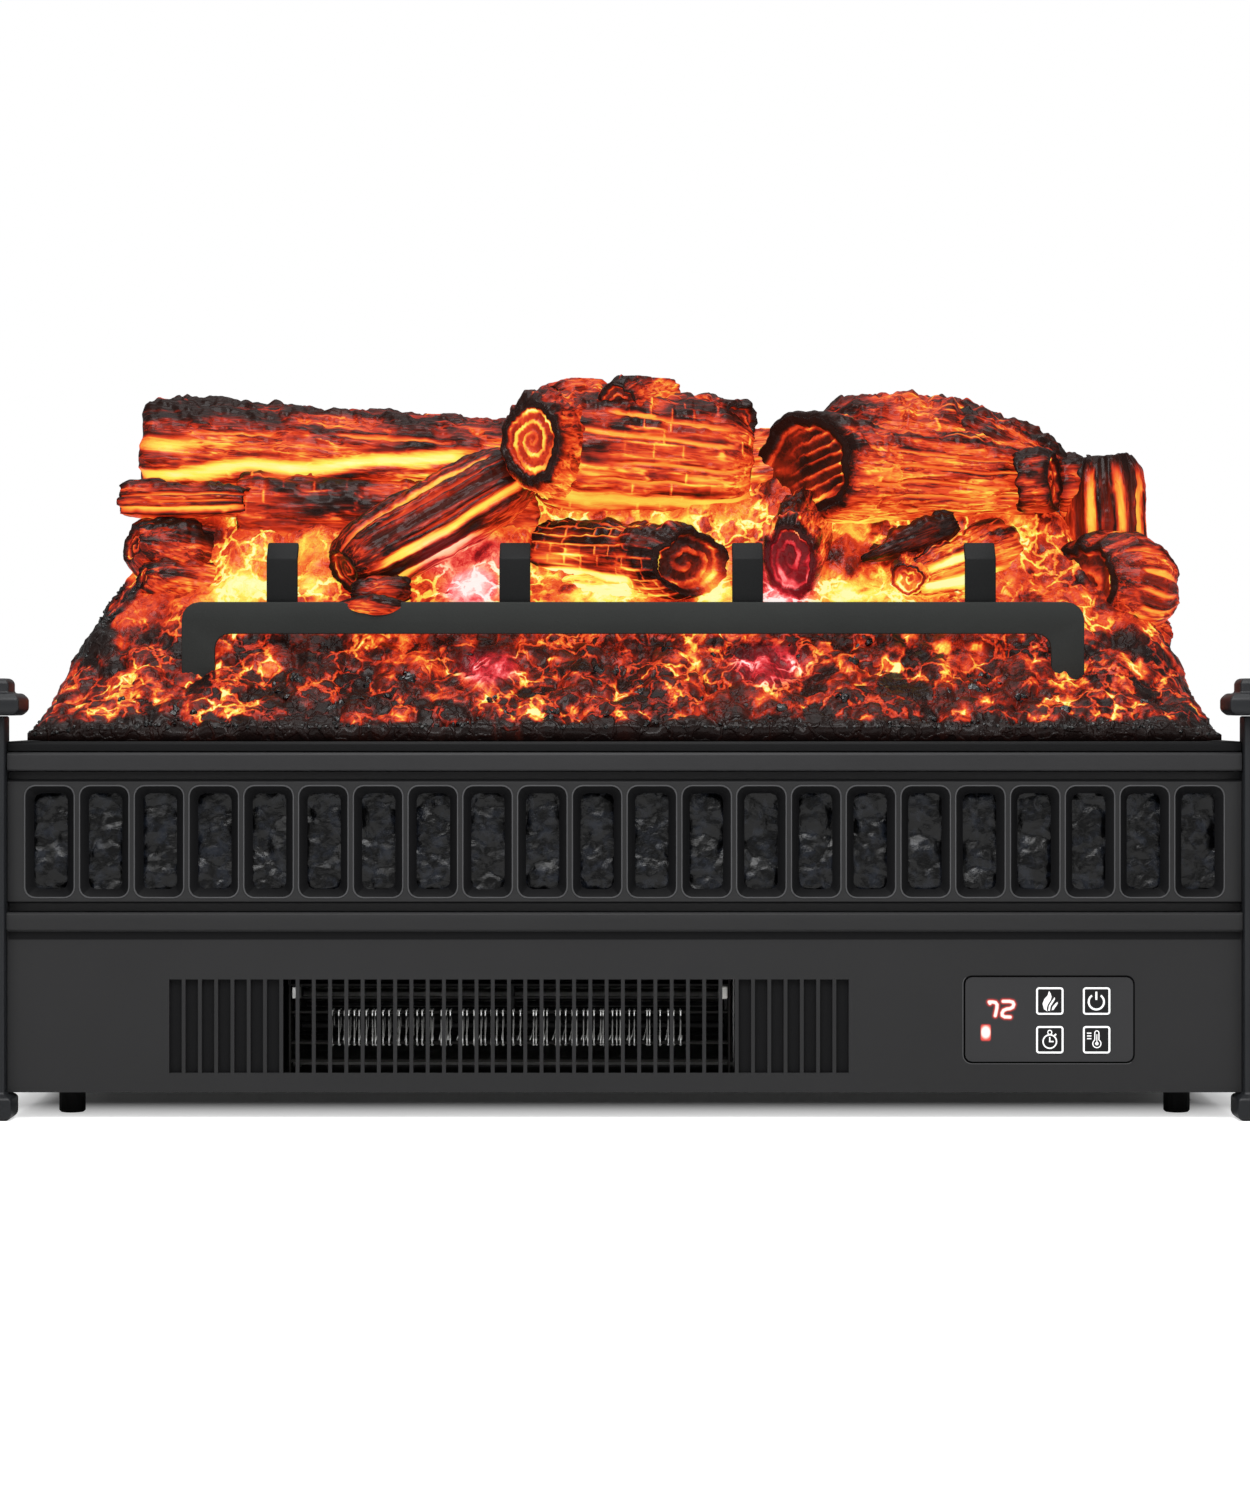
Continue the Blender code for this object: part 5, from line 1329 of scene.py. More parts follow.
# Each log's shapes: the ends' pixels and depths, the pixel radii, the seed and the rest
PILE: dict[str, tuple[tuple, ...]] = {
    "log_left_back": (
        ((146, 450, 0.046), (528, 474, 0.046), 50, 48, 11, dict(bark=Bark.FLUTES, char=0.46,
         warmth=0.62, belly=0.07, ragged=1.5, bands=((86, 8, 0.88, -1.0, 0.13),
         (95, 8, 0.92, -1.0, 0.86, -1.05), (70, 2.5, 0.72, 0.16, 0.34), (62, 2.5, 0.7, 0.5, 0.8),
         (122, 9, 0.24, 0.27, 0.62, -0.6), (112, 2, 0.74, 0.68, 0.92, -0.5)), along=190,
         around=200)),
        ((240, 512, 0.03), (540, 520, 0.034), 42, 44, 12, dict(bark=Bark.BRICKS, char=0.46,
         warmth=0.56, row_height=0.008, brick_length=0.02, along=140)),
        ((158, 430, 0.05), (262, 432, 0.052), 30, 28, 13, dict(char=1.25, ragged=2.2,
         rounding=0.006, shrink=0.35, along=60, around=110)),
        ((290, 444, 0.05), (500, 458, 0.052), 32, 30, 14, dict(char=0.38, ragged=2.4,
         rounding=0.006, shrink=0.35, along=100)),
    ),
    "log_left_middle": (
        ((121, 500, 0.012), (250, 500, 0.012), 17, 16, 22, dict(bark=Bark.FLUTES, char=0.42,
         bands=((128, 12, 0.88), (72, 5, 0.74), (98, 4, 0.7, 0.2, 0.9)), skew_end=0.45, rings=1.5,
         belly=0.06, rounding=0.004, along=80, end_steps=20)),
    ),
    "log_left_stub": (
        ((132, 545, 0.004), (214, 566, 0.034), 34, 42, 31, dict(char=0.55, rings=2.0, belly=0.12,
         rounding=0.01, shrink=0.45, bands=((132, 5, 0.72, 0.1, 0.8),), ragged=1.8, along=110)),
        ((142, 578, -0.004), (236, 594, 0.02), 24, 34, 32, dict(char=0.46, rounding=0.008,
         shrink=0.4)),
        ((176, 530, 0.018), (232, 540, 0.034), 24, 26, 33, dict(char=0.35, rounding=0.008,
         shrink=0.4, along=60)),
    ),
    "log_diagonal": (
        ((344, 570, -0.02), (524, 470, 0.014), 42, 40, 41, dict(char=0.4, warmth=0.56,
         skew_start=0.2, rounding=0.01, shrink=0.45, bark=Bark.FLUTES, ragged=0.6, end_char=0.3,
         bands=((30, 5, 0.84, 0.0, 0.86), (52, 2.5, 0.64, 0.2, 0.9), (70, 9, 0.26, 0.1, 0.9),
         (104, 8, 0.92, 0.1, 1.0), (124, 7, 0.26, 0.0, 0.66), (142, 8, 0.88, 0.12, 0.62),
         (88, 2, 0.6, 0.3, 0.8)), along=160, around=180, end_steps=24)),
        ((338, 604, -0.054), (404, 605, -0.054), 7, 11, 42, dict(char=0.6, rounding=0.006,
         shrink=0.8, belly=0.2, ragged=0.6, along=50, around=90)),
        ((352, 592, -0.04), (410, 590, -0.036), 16, 17, 43, dict(char=0.6, rounding=0.006,
         shrink=0.5, along=50, around=100)),
    ),
    "log_centre_top": (
        ((536, 446, 0.026), (748, 464, 0.036), 64, 55, 51, dict(bark=Bark.BRICKS, char=0.5,
         belly=0.07, ragged=1.4, rounding=0.005, shrink=0.25, row_height=0.0066,
         bands=((56, 2.4, 0.78, 0.3, 0.9), (76, 2.6, 0.8, 0.12, 0.9), (101, 2.0, 0.76, 0.35, 0.95),
         (117, 2.0, 0.76, 0.25, 0.7), (139, 8, 0.84, 0.1, 1.0)), along=170, around=220)),
        ((530, 440, -0.02), (566, 446, 0.026), 35, 42, 55, dict(char=0.6, rings=3.6, warmth=0.66,
         end_char=0.5, tall=1.36, face_base=-0.16, moat=0.16, along=50, around=180, end_steps=28)),
        ((552, 400, 0.02), (606, 400, 0.04), 24, 24, 52, dict(char=0.2, ragged=1.6, rounding=0.006,
         shrink=0.4, along=45, around=110)),
        ((618, 404, 0.004), (662, 396, 0.044), 22, 24, 53, dict(char=0.45, skew_start=0.4,
         rings=2.0, ragged=1.6, along=50, around=110, end_steps=20)),
        ((690, 408, 0.04), (738, 424, 0.016), 18, 20, 54, dict(char=0.6, skew_end=0.6, rings=2.0,
         ragged=1.6, along=50, around=110)),
        ((735, 478, 0.052), (830, 470, 0.052), 44, 44, 56, dict(char=0.2, warmth=0.64, along=40,
         around=110)),
    ),
    "log_front_centre": (
        ((542, 552, 0.016), (690, 563, -0.022), 32, 37, 61, dict(bark=Bark.BRICKS, char=0.8,
         skew_end=0.8, rings=2.2, warmth=0.6, row_height=0.0058, brick_length=0.0095,
         rounding=0.004, bands=((128, 11, 0.94, 0.0, 0.74),), along=150, around=200,
         end_steps=28)),
        ((556, 588, 0.004), (650, 594, -0.014), 20, 20, 62, dict(char=0.0, warmth=0.8,
         rounding=0.008, shrink=0.5, along=50, around=100)),
    ),
    "log_centre_stub": (
        ((806, 532, 0.03), (790, 560, -0.034), 32, 29, 71, dict(char=0.6, rings=2.1, end_char=0.4,
         face_base=-0.36, tall=1.42, along=80, around=140, end_steps=28)),
    ),
    "log_right_top": (
        ((802, 468, 0.012), (1046, 482, 0.026), 56, 36, 81, dict(char=0.42, skew_start=0.85,
         skew_end=0.5, rings=2.2, face=Face.SPLIT, end_char=0.4, bands=((66, 2.2, 0.74, 0.3, 0.9),
         (84, 2.2, 0.72, 0.35, 1.0), (104, 2.2, 0.72, 0.15, 0.8), (122, 2.2, 0.74, 0.3, 1.0)),
         along=190, around=210, end_steps=28)),
        ((1016, 484, 0.006), (1054, 481, 0.008), 30, 32, 82, dict(char=0.6, skew_end=0.45,
         rings=2.4, end_char=0.45, along=40, around=120, end_steps=24)),
    ),
    "log_right_crown": (
        ((810, 440, 0.05), (1030, 470, 0.056), 34, 30, 91, dict(char=0.46, belly=0.95, ragged=2.6,
         warmth=0.66, rounding=0.01, shrink=0.4, along=160, around=170)),
        ((950, 428, 0.04), (1058, 478, 0.036), 29, 34, 92, dict(char=0.7, ragged=2.4,
         rounding=0.008, shrink=0.4)),
    ),
    "log_right_rear": (
        ((1108, 578, 0.034), (1104, 458, 0.036), 43, 41, 101, dict(bark=Bark.FLUTES, char=0.5,
         ragged=1.0, rounding=0.007, shrink=0.3, end_char=0.55, bands=((150, 8, 0.86, 0.3, 0.88),
         (195, 9, 0.84, 0.35, 0.92), (236, 9, 0.82, 0.3, 0.88), (172, 7, 0.34, 0.3, 1.0),
         (215, 7, 0.32, 0.3, 1.0), (128, 8, 0.34, 0.3, 1.0)), along=110, around=170)),
        ((1080, 470, 0.036), (1130, 492, 0.034), 22, 24, 102, dict(char=0.95, ragged=2.2,
         rounding=0.008, shrink=0.45, along=70, around=110)),
        ((1058, 486, 0.04), (1082, 486, 0.04), 34, 30, 103, dict(char=0.6, along=40, around=110)),
    ),
    "log_right_low": (
        ((1082, 582, 0.0), (1162, 594, 0.014), 60, 46, 111, dict(bark=Bark.FLUTES, char=0.34,
         rings=2.0, skew_start=0.6, rounding=0.008, shrink=0.35, belly=0.05,
         bands=((46, 2.5, 0.74, 0.1, 1.0), (74, 4, 0.8, 0.25, 1.0), (94, 3.5, 0.76, 0.2, 0.9),
         (114, 3.5, 0.8, 0.25, 1.0), (132, 3, 0.72, 0.2, 0.9), (84, 4, 0.34, 0.2, 0.9),
         (104, 4, 0.34, 0.2, 0.9)), along=120, around=190, end_steps=20)),
        ((1080, 632, 0.004), (1166, 640, 0.012), 36, 32, 112, dict(char=0.25, rounding=0.008,
         shrink=0.4)),
    ),
    "log_front_right": (
        ((1004, 552, 0.02), (912, 580, -0.024), 36, 19, 121, dict(char=0.42, rings=1.6,
         warmth=0.62, rounding=0.004, shrink=0.2, bands=((60, 12, 0.88, 0.5, 1.0),
         (120, 16, 0.92, 0.3, 1.0)), along=110)),
        ((914, 572, -0.004), (908, 579, -0.034), 20, 18, 122, dict(char=0.3, rings=2.0,
         warmth=0.66, face_base=-0.3, end_char=0.1, rounding=0.003, moat=0.22, along=40,
         around=120, end_steps=24)),
        ((862, 560, -0.006), (956, 522, -0.004), 7, 17, 123, dict(char=1.5, ragged=2.2,
         rounding=0.006, shrink=0.5, belly=0.3, around=100)),
    ),
}


# The bright patches of the photograph: pixel, depth, half sizes in pixels, heat and blush
GLOWS = (
    (246, 586, -0.02, 38, 30, 0.52), (310, 548, -0.005, 34, 16, 0.3),
    (312, 590, -0.02, 16, 20, 0.26), (340, 505, 0.02, 90, 22, -0.12),
    (205, 536, 0.01, 26, 9, -0.45), (172, 520, 0.01, 16, 8, -0.4), (212, 610, -0.03, 20, 22, 0.14),
    (270, 660, -0.06, 14, 18, 0.3), (420, 662, -0.065, 12, 20, 0.3),
    (470, 584, -0.02, 30, 24, 0.56, 1.0), (462, 556, 0.0, 52, 22, 0.06, 0.7),
    (486, 664, -0.07, 32, 20, 0.24, 1.0), (600, 598, -0.02, 50, 16, 0.42),
    (714, 588, -0.02, 18, 30, 0.62), (560, 560, 0.0, 22, 30, 0.2), (640, 522, 0.01, 60, 9, 0.16),
    (722, 522, 0.01, 30, 16, 0.24), (748, 474, 0.02, 14, 34, 0.22),
    (784, 574, -0.03, 34, 40, 0.1, 1.0), (776, 596, -0.034, 20, 12, 0.4, 1.0),
    (770, 660, -0.07, 42, 24, 0.24, 1.0), (846, 592, -0.02, 28, 16, 0.44),
    (900, 590, -0.025, 48, 20, 0.42), (864, 536, 0.0, 34, 20, 0.28),
    (950, 566, -0.01, 20, 24, 0.24), (1060, 560, 0.0, 24, 26, -0.18),
    (1010, 560, -0.005, 40, 36, 0.1), (700, 650, -0.065, 20, 18, 0.14),
    (958, 652, -0.065, 16, 18, 0.2), (205, 408, 0.03, 70, 17, -0.5),
    (330, 458, 0.02, 190, 42, 0.09), (1140, 566, -0.01, 60, 60, 0.07),
    (275, 422, 0.028, 14, 8, -0.5), (348, 592, -0.045, 14, 12, -0.35),
)


@dataclass
class LogPile:
    """The twelve resin logs, sculpted over their CAD solids."""

    photo: PhotoFrame
    palette: Palette

    def shape(self, a: Point, b: Point, first: float, last: float, seed: int,
              more: dict) -> LogShape:
        """Place one row of the pile.

        Args:
            a: the first end's pixel and depth.
            b: the second end's.
            first: the radius at the first end, in pixels.
            last: the radius at the second end.
            seed: the log's own seed.
            more: other fields of LogShape.

        Returns:
            The log.
        """
        return LogShape(self.photo.place(*a), self.photo.place(*b), self.photo.reach(first, a[2]),
            self.photo.reach(last, b[2]), seed, **more)

    def warm(self, verts: Array, heat: Array) -> tuple[Array, Array]:
        """Add the hot spots.

        Args:
            verts: points in metres.
            heat: their heat so far.

        Returns:
            The heat and the blush.
        """
        blush = np.zeros(len(verts))
        for px, py, depth, wide, tall, warmth, *rosy in GLOWS:
            middle = np.array(self.photo.place(px, py, depth))
            half = (self.photo.reach(wide, depth), 0.035, self.photo.reach(tall, depth))
            gap = (verts - middle) / half
            near = np.exp(-(gap ** 2).sum(axis=1))
            heat = heat + warmth * near * (1.15 - 0.5 * np.clip(heat, 0, 1))
            if rosy:
                blush = np.maximum(blush, rosy[0] * ease_between(0.12, 0.55, near))
        return np.clip(heat, 0, 1.05), blush

    def build(self) -> None:
        """Make every log piece."""
        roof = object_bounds()[1][2] - 0.0002
        for node, rows in PILE.items():
            shapes = [self.shape(*row).build() for row in rows]
            points, faces = joined(shape[:2] for shape in shapes)
            heat, grain, fibres = (np.concatenate(part) for part in list(zip(*shapes))[2:])
            points[:, 2] = np.minimum(points[:, 2], roof)
            heat, blush = self.warm(points, heat)
            mesh = mesh_from(node + "_bark", points, faces)
            dress(mesh, heat, blush, grain, fibres)
            piece = new_object(node + "_bark", mesh, self.palette["log_resin"], smooth=True)
            settle(piece, HOUSING, node, slot="log_resin")


def dress(mesh: Mesh, heat: Array, blush: Array, grain: Array, fibres: Array) -> None:
    """Store what the resin finish reads.

    Args:
        mesh: the mesh.
        heat: the glow.
        blush: the share of pink.
        grain: the fine grain's weight.
        fibres: the grain's coordinates.
    """
    set_attribute(mesh, "glow", heat)
    set_attribute(mesh, "blush", blush)
    set_attribute(mesh, "grain", grain * (1 - 0.55 * ease_between(0.7, 0.95, heat)))
    layer = mesh.attributes.new("fibre", 'FLOAT_VECTOR', 'POINT')
    layer.data.foreach_set("vector", np.asarray(fibres, dtype=np.float32).ravel())


@dataclass
class EmberBed:
    """Moulded coals with lit cracks, and black grit along the front edge."""

    frame: dict
    palette: Palette
    pile: LogPile
    columns: int = 540
    rows: int = 176
    deck_top: float = 0.1875
    pile_height: float = 0.1925
    lump: float = 0.013
    lump_height: float = 0.0072
    leg_width: float = 0.017
    grit_density: float = 150000.0
    grit_size: float = 0.0017
    nugget_density: float = 26000.0
    nugget_size: float = 0.004

    def base_points(self) -> tuple[Array, Vector, Vector]:
        """Drape the grid over the CAD node.

        Returns:
            The grid and the node's two corners.
        """
        low, high = (Vector(corner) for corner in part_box("ember_bed"))
        data = self.frame["nodes"]["ember_bed"].data
        cast = BVHTree.FromPolygons([v.co for v in data.vertices],
            [tuple(f.vertices) for f in data.polygons]).ray_cast

        def tops(across: Array, deep: Array) -> Array:
            """Find the solid's height.

            Args:
                across: the x of each place.
                deep: the y of each place.

            Returns:
                The heights.
            """
            hits = [cast(Vector((x, y, 1.0)), Vector((0, 0, -1)))[0]
                for x, y in zip(across.ravel(), deep.ravel())]
            flat = np.array([self.deck_top if hit is None else hit.z for hit in hits])
            return flat.reshape(across.shape)

        inset = 0.0006
        deep = np.linspace(low.y + inset, high.y - inset, 300)
        middle = sum(tops(np.full(300, x), deep) for x in (-0.06, 0.0, 0.07)) / 3
        run = np.concatenate([[0], np.cumsum(np.hypot(np.diff(deep), np.diff(middle)))])
        y = np.interp(run[-1] * np.linspace(0, 1, self.rows) ** 1.35, run, deep)
        x = np.linspace(low.x + inset, high.x - inset, self.columns)
        grid = np.stack([*np.meshgrid(x, y), np.zeros((self.rows, self.columns))], axis=2)
        z = tops(grid[..., 0], grid[..., 1])
        near, far = (Vector(corner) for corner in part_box("grate_frame"))
        rows = np.nonzero((y > near.y - 0.001) & (y < far.y + 0.001))[0]
        for left in (near.x, far.x - self.leg_width):
            columns = (x > left - 0.001) & (x < left + self.leg_width + 0.001)
            first, last = rows[0] - 1, rows[-1] + 1
            for row in rows:
                share = (row - first) / (last - first)
                z[row, columns] = (1 - share) * z[first, columns] + share * z[last, columns]
        for axis in (0, 1):
            for _ in range(3):
                z = (np.roll(z, 1, axis) + z + np.roll(z, -1, axis)) / 3
                z[0], z[-1] = z[1], z[-2]
                z[:, 0], z[:, -1] = z[:, 1], z[:, -2]
        grid[..., 2] = np.maximum(z, self.deck_top + 0.003)
        return grid, low, high

    def build(self) -> None:
        """Make the bed and its grit."""
        grid, low, high = self.base_points()
        normal = np.cross(np.gradient(grid, axis=1), np.gradient(grid, axis=0))
        normal /= np.linalg.norm(normal, axis=2, keepdims=True) + EPS
        flat = grid.reshape(-1, 3)
        flat_normal = normal.reshape(-1, 3)
        grain = Grain(301)
        warp = np.stack([grain.layered(flat / 0.014 + k * 9, 2) for k in range(3)], axis=1)
        near, far, label = grain.cells(flat / self.lump + 0.4 * warp)
        small_near = Grain(302).cells(flat / 0.0042 + 0.3 * warp)[0]
        rough = grain.layered(flat / 0.0026, 3)
        broad = grain.layered(flat / 0.04 + 5, 3)
        middle = grain.layered(flat / 0.015 + 25, 3)
        flame = grain.layered(flat / 0.0086 + 55, 3)
        thread = 1 - np.abs(grain.layered(flat / 0.01 + 0.5 * warp + 140, 2))
        thread = ease_between(0.86, 0.985, thread)
        web = grain.layered(flat / np.array((0.01, 0.01, 0.016)) + 85, 4)
        ring = np.exp(-((far - near - 0.1) / 0.11) ** 2)
        dome = np.sqrt(np.clip(1 - near * near * 1.2, 0, 1))
        height = (flat[:, 2] - self.deck_top) / self.pile_height
        upper = ease_between(0.25, 0.34, height)
        rise = self.lump_height * (dome - 0.62) * (0.4 + label) * (1 - 0.75 * upper)
        rise += 0.0016 * (0.5 - np.clip(small_near, 0, 1)) + 0.001 * rough
        rise += upper * 0.003 * web
        border = np.ones((self.rows, self.columns))
        border[0], border[-1], border[:, 0], border[:, -1] = 0, 0, 0, 0
        border[1:3], border[:, 1:2], border[:, -2:-1] = 0.4, 0.4, 0.4
        points = flat + flat_normal * (rise * border.ravel())[:, None]
        points[:, 0] = np.clip(points[:, 0], low.x + 0.0002, high.x - 0.0002)
        points[:, 1] = np.clip(points[:, 1], low.y + 0.0002, high.y - 0.0002)
        points[:, 2] = np.maximum(points[:, 2], self.deck_top + 0.0012)
        across = np.abs(flat[:, 0]) / (high.x - low.x) * 2
        soot = 1 - ease_between(0.034, 0.066, height + 0.022 * middle + 0.01 * rough)
        start = np.where(flat[:, 0] < 0, 0.85, 0.93)
        flank = ease_between(0.0, 0.07, across - start + 0.09 * middle)
        flank *= ease_between(0.15, 0.26, height)
        soot = np.maximum(soot, flank)
        mask = ease_between(-0.75, 0.05, broad + 0.7 * middle)
        nugget = 1 - ease_between(0.22, 0.32, label)
        patch = ease_between(-0.1, 0.45, flame + 0.5 * (label - 0.5))
        heat = 0.25 + 0.05 * rough + 0.24 * patch * mask + 0.12 * thread * mask
        heat += ring * (0.04 + 0.24 * mask * ease_between(-0.35, 0.3, flame))
        heat *= 1 - 0.75 * nugget * (1 - 0.4 * ring)
        glow = 0.55 + 0.18 * web + 0.12 * flame + 0.08 * ease_between(0.4, 0.6, height)
        glow += 0.12 * thread
        glow -= 0.3 * ease_between(0.18, 0.42, middle + 0.4 * web)
        heat = heat * (1 - upper) + glow * upper
        heat *= 1 - 0.95 * soot
        heat, blush = self.pile.warm(points, heat)
        self.finish_mesh(points, heat, blush, (1 - 0.2 * upper) * (1 - 0.9 * soot), low)
        self.add_grit(grid, points, soot, low)

    def finish_mesh(self, points: Array, heat: Array, blush: Array,
                    grain: Array, low: Vector) -> None:
        """Close the surface to the deck and settle it.

        Args:
            points: the surface.
            heat: its glow.
            blush: its share of pink.
            grain: the fine grain's weight.
            low: the node's lower corner.
        """
        rows, columns = self.rows, self.columns
        faces = sheet_faces(rows, columns)
        index = np.arange(rows * columns).reshape(rows, columns)
        ring = [*index[0], *index[1:, -1], *index[-1, -2::-1], *index[-2:0:-1, 0]]
        base = points[ring].copy()
        base[:, 2] = low.z + 0.0001
        foot = range(len(points), len(points) + len(ring))
        sides = list(zip(ring, foot))
        faces += [(a, b, d, c) for (a, b), (c, d) in zip(sides, sides[1:] + sides[:1])]
        faces.append(tuple(reversed(foot)))
        verts = np.concatenate([points, base])
        mesh = mesh_from("ember_bed_coals", verts, faces)
        dress(mesh, np.concatenate([heat, heat[ring] * 0.3]), np.concatenate([blush, blush[ring]]),
            np.concatenate([grain, grain[ring]]), verts / 0.0028)
        bed = new_object("ember_bed_coals", mesh, self.palette["ember_resin"], smooth=True)
        settle(bed, HOUSING, "ember_bed", slot="ember_resin")

    def ground(self, grid: Array, keep: Array) -> Mesh:
        """Take a coarse patch of the bed.

        Args:
            grid: the bed's points.
            keep: which of them are kept.

        Returns:
            The patch.
        """
        columns = self.columns
        used = keep[:-2, :-2] & keep[2:, 2:] & keep[:-2, 2:] & keep[2:, :-2]
        faces = []
        for row, column in zip(*np.nonzero(used[::2, ::2])):
            a = 2 * row * columns + 2 * column
            faces.append((a, a + 2, a + 2 * columns + 2, a + 2 * columns))
        return mesh_from("scatter_ground", grid.reshape(-1, 3), faces)

    def scatter(self, name: str, ground: Mesh, density: float, size: float,
                finish: str, detail: int, dent: float) -> None:
        """Scatter nuggets over a patch with geometry nodes.

        Args:
            name: the piece's name.
            ground: the patch.
            density: nuggets in a square metre.
            size: the largest radius.
            finish: the finish.
            detail: the nugget's subdivisions.
            dent: how far its faces are dented, as a share of the size.
        """
        tree = Repeater(name, Density=density, Size=size, Seed=5)
        spread = tree.geo("DistributePointsOnFaces", Mesh=tree["Geometry"],
            Density=tree["Density"], Seed=tree["Seed"])
        nugget = tree.geo("MeshIcoSphere", Subdivisions=detail, Radius=tree["Size"])
        cloud = tree.out("TexNoise", Scale=0.8 / size, Detail=1.0).node.outputs[1]
        push = tree.out("VectorMath", cloud, (dent * size,) * 3, (-0.5 * dent * size,) * 3,
            operation='MULTIPLY_ADD')
        shape = tree.geo("SetPosition", Geometry=nugget, Offset=push)
        chance = {label: tree.out("FunctionNodeRandomValue", least, most, data_type='FLOAT_VECTOR')
            for label, least, most in (("Rotation", (0.0,) * 3, (6.28,) * 3),
            ("Scale", (0.35,) * 3, (1.0, 1.0, 0.8)))}
        settle(tree.bake(tree.copies(spread, shape, **chance), self.palette[finish], ground),
            HOUSING)

    def add_grit(self, grid: Array, points: Array, soot: Array,
                 low: Vector) -> None:
        """Lay black grit on the charred edges and glossy nuggets between the embers.

        Args:
            grid: the draped grid.
            points: the sculpted surface.
            soot: how charred it is.
            low: the node's lower corner.
        """
        front = grid[..., 1] < low.y + 0.16
        dark = soot.reshape(self.rows, self.columns) > 0.45
        self.scatter("ember_grit", self.ground(grid, dark & front), self.grit_density,
            self.grit_size, "fringe_grit", 1, 0.0)
        share = (grid[..., 2] - self.deck_top) / self.pile_height
        field_ = Grain(305).layered(grid.reshape(-1, 3) / 0.011, 2).reshape(self.rows, -1)
        lit = ~dark & (grid[..., 1] < low.y + 0.06) & (share < 0.3) & (field_ > 0.3)
        lit &= np.abs(grid[..., 0]) < -0.96 * low.x
        sunk = points.reshape(grid.shape) - (0, -0.001, 0.0014)
        self.scatter("ember_nuggets", self.ground(sunk, lit), self.nugget_density,
            self.nugget_size, "nugget_gloss", 3, 1.3)


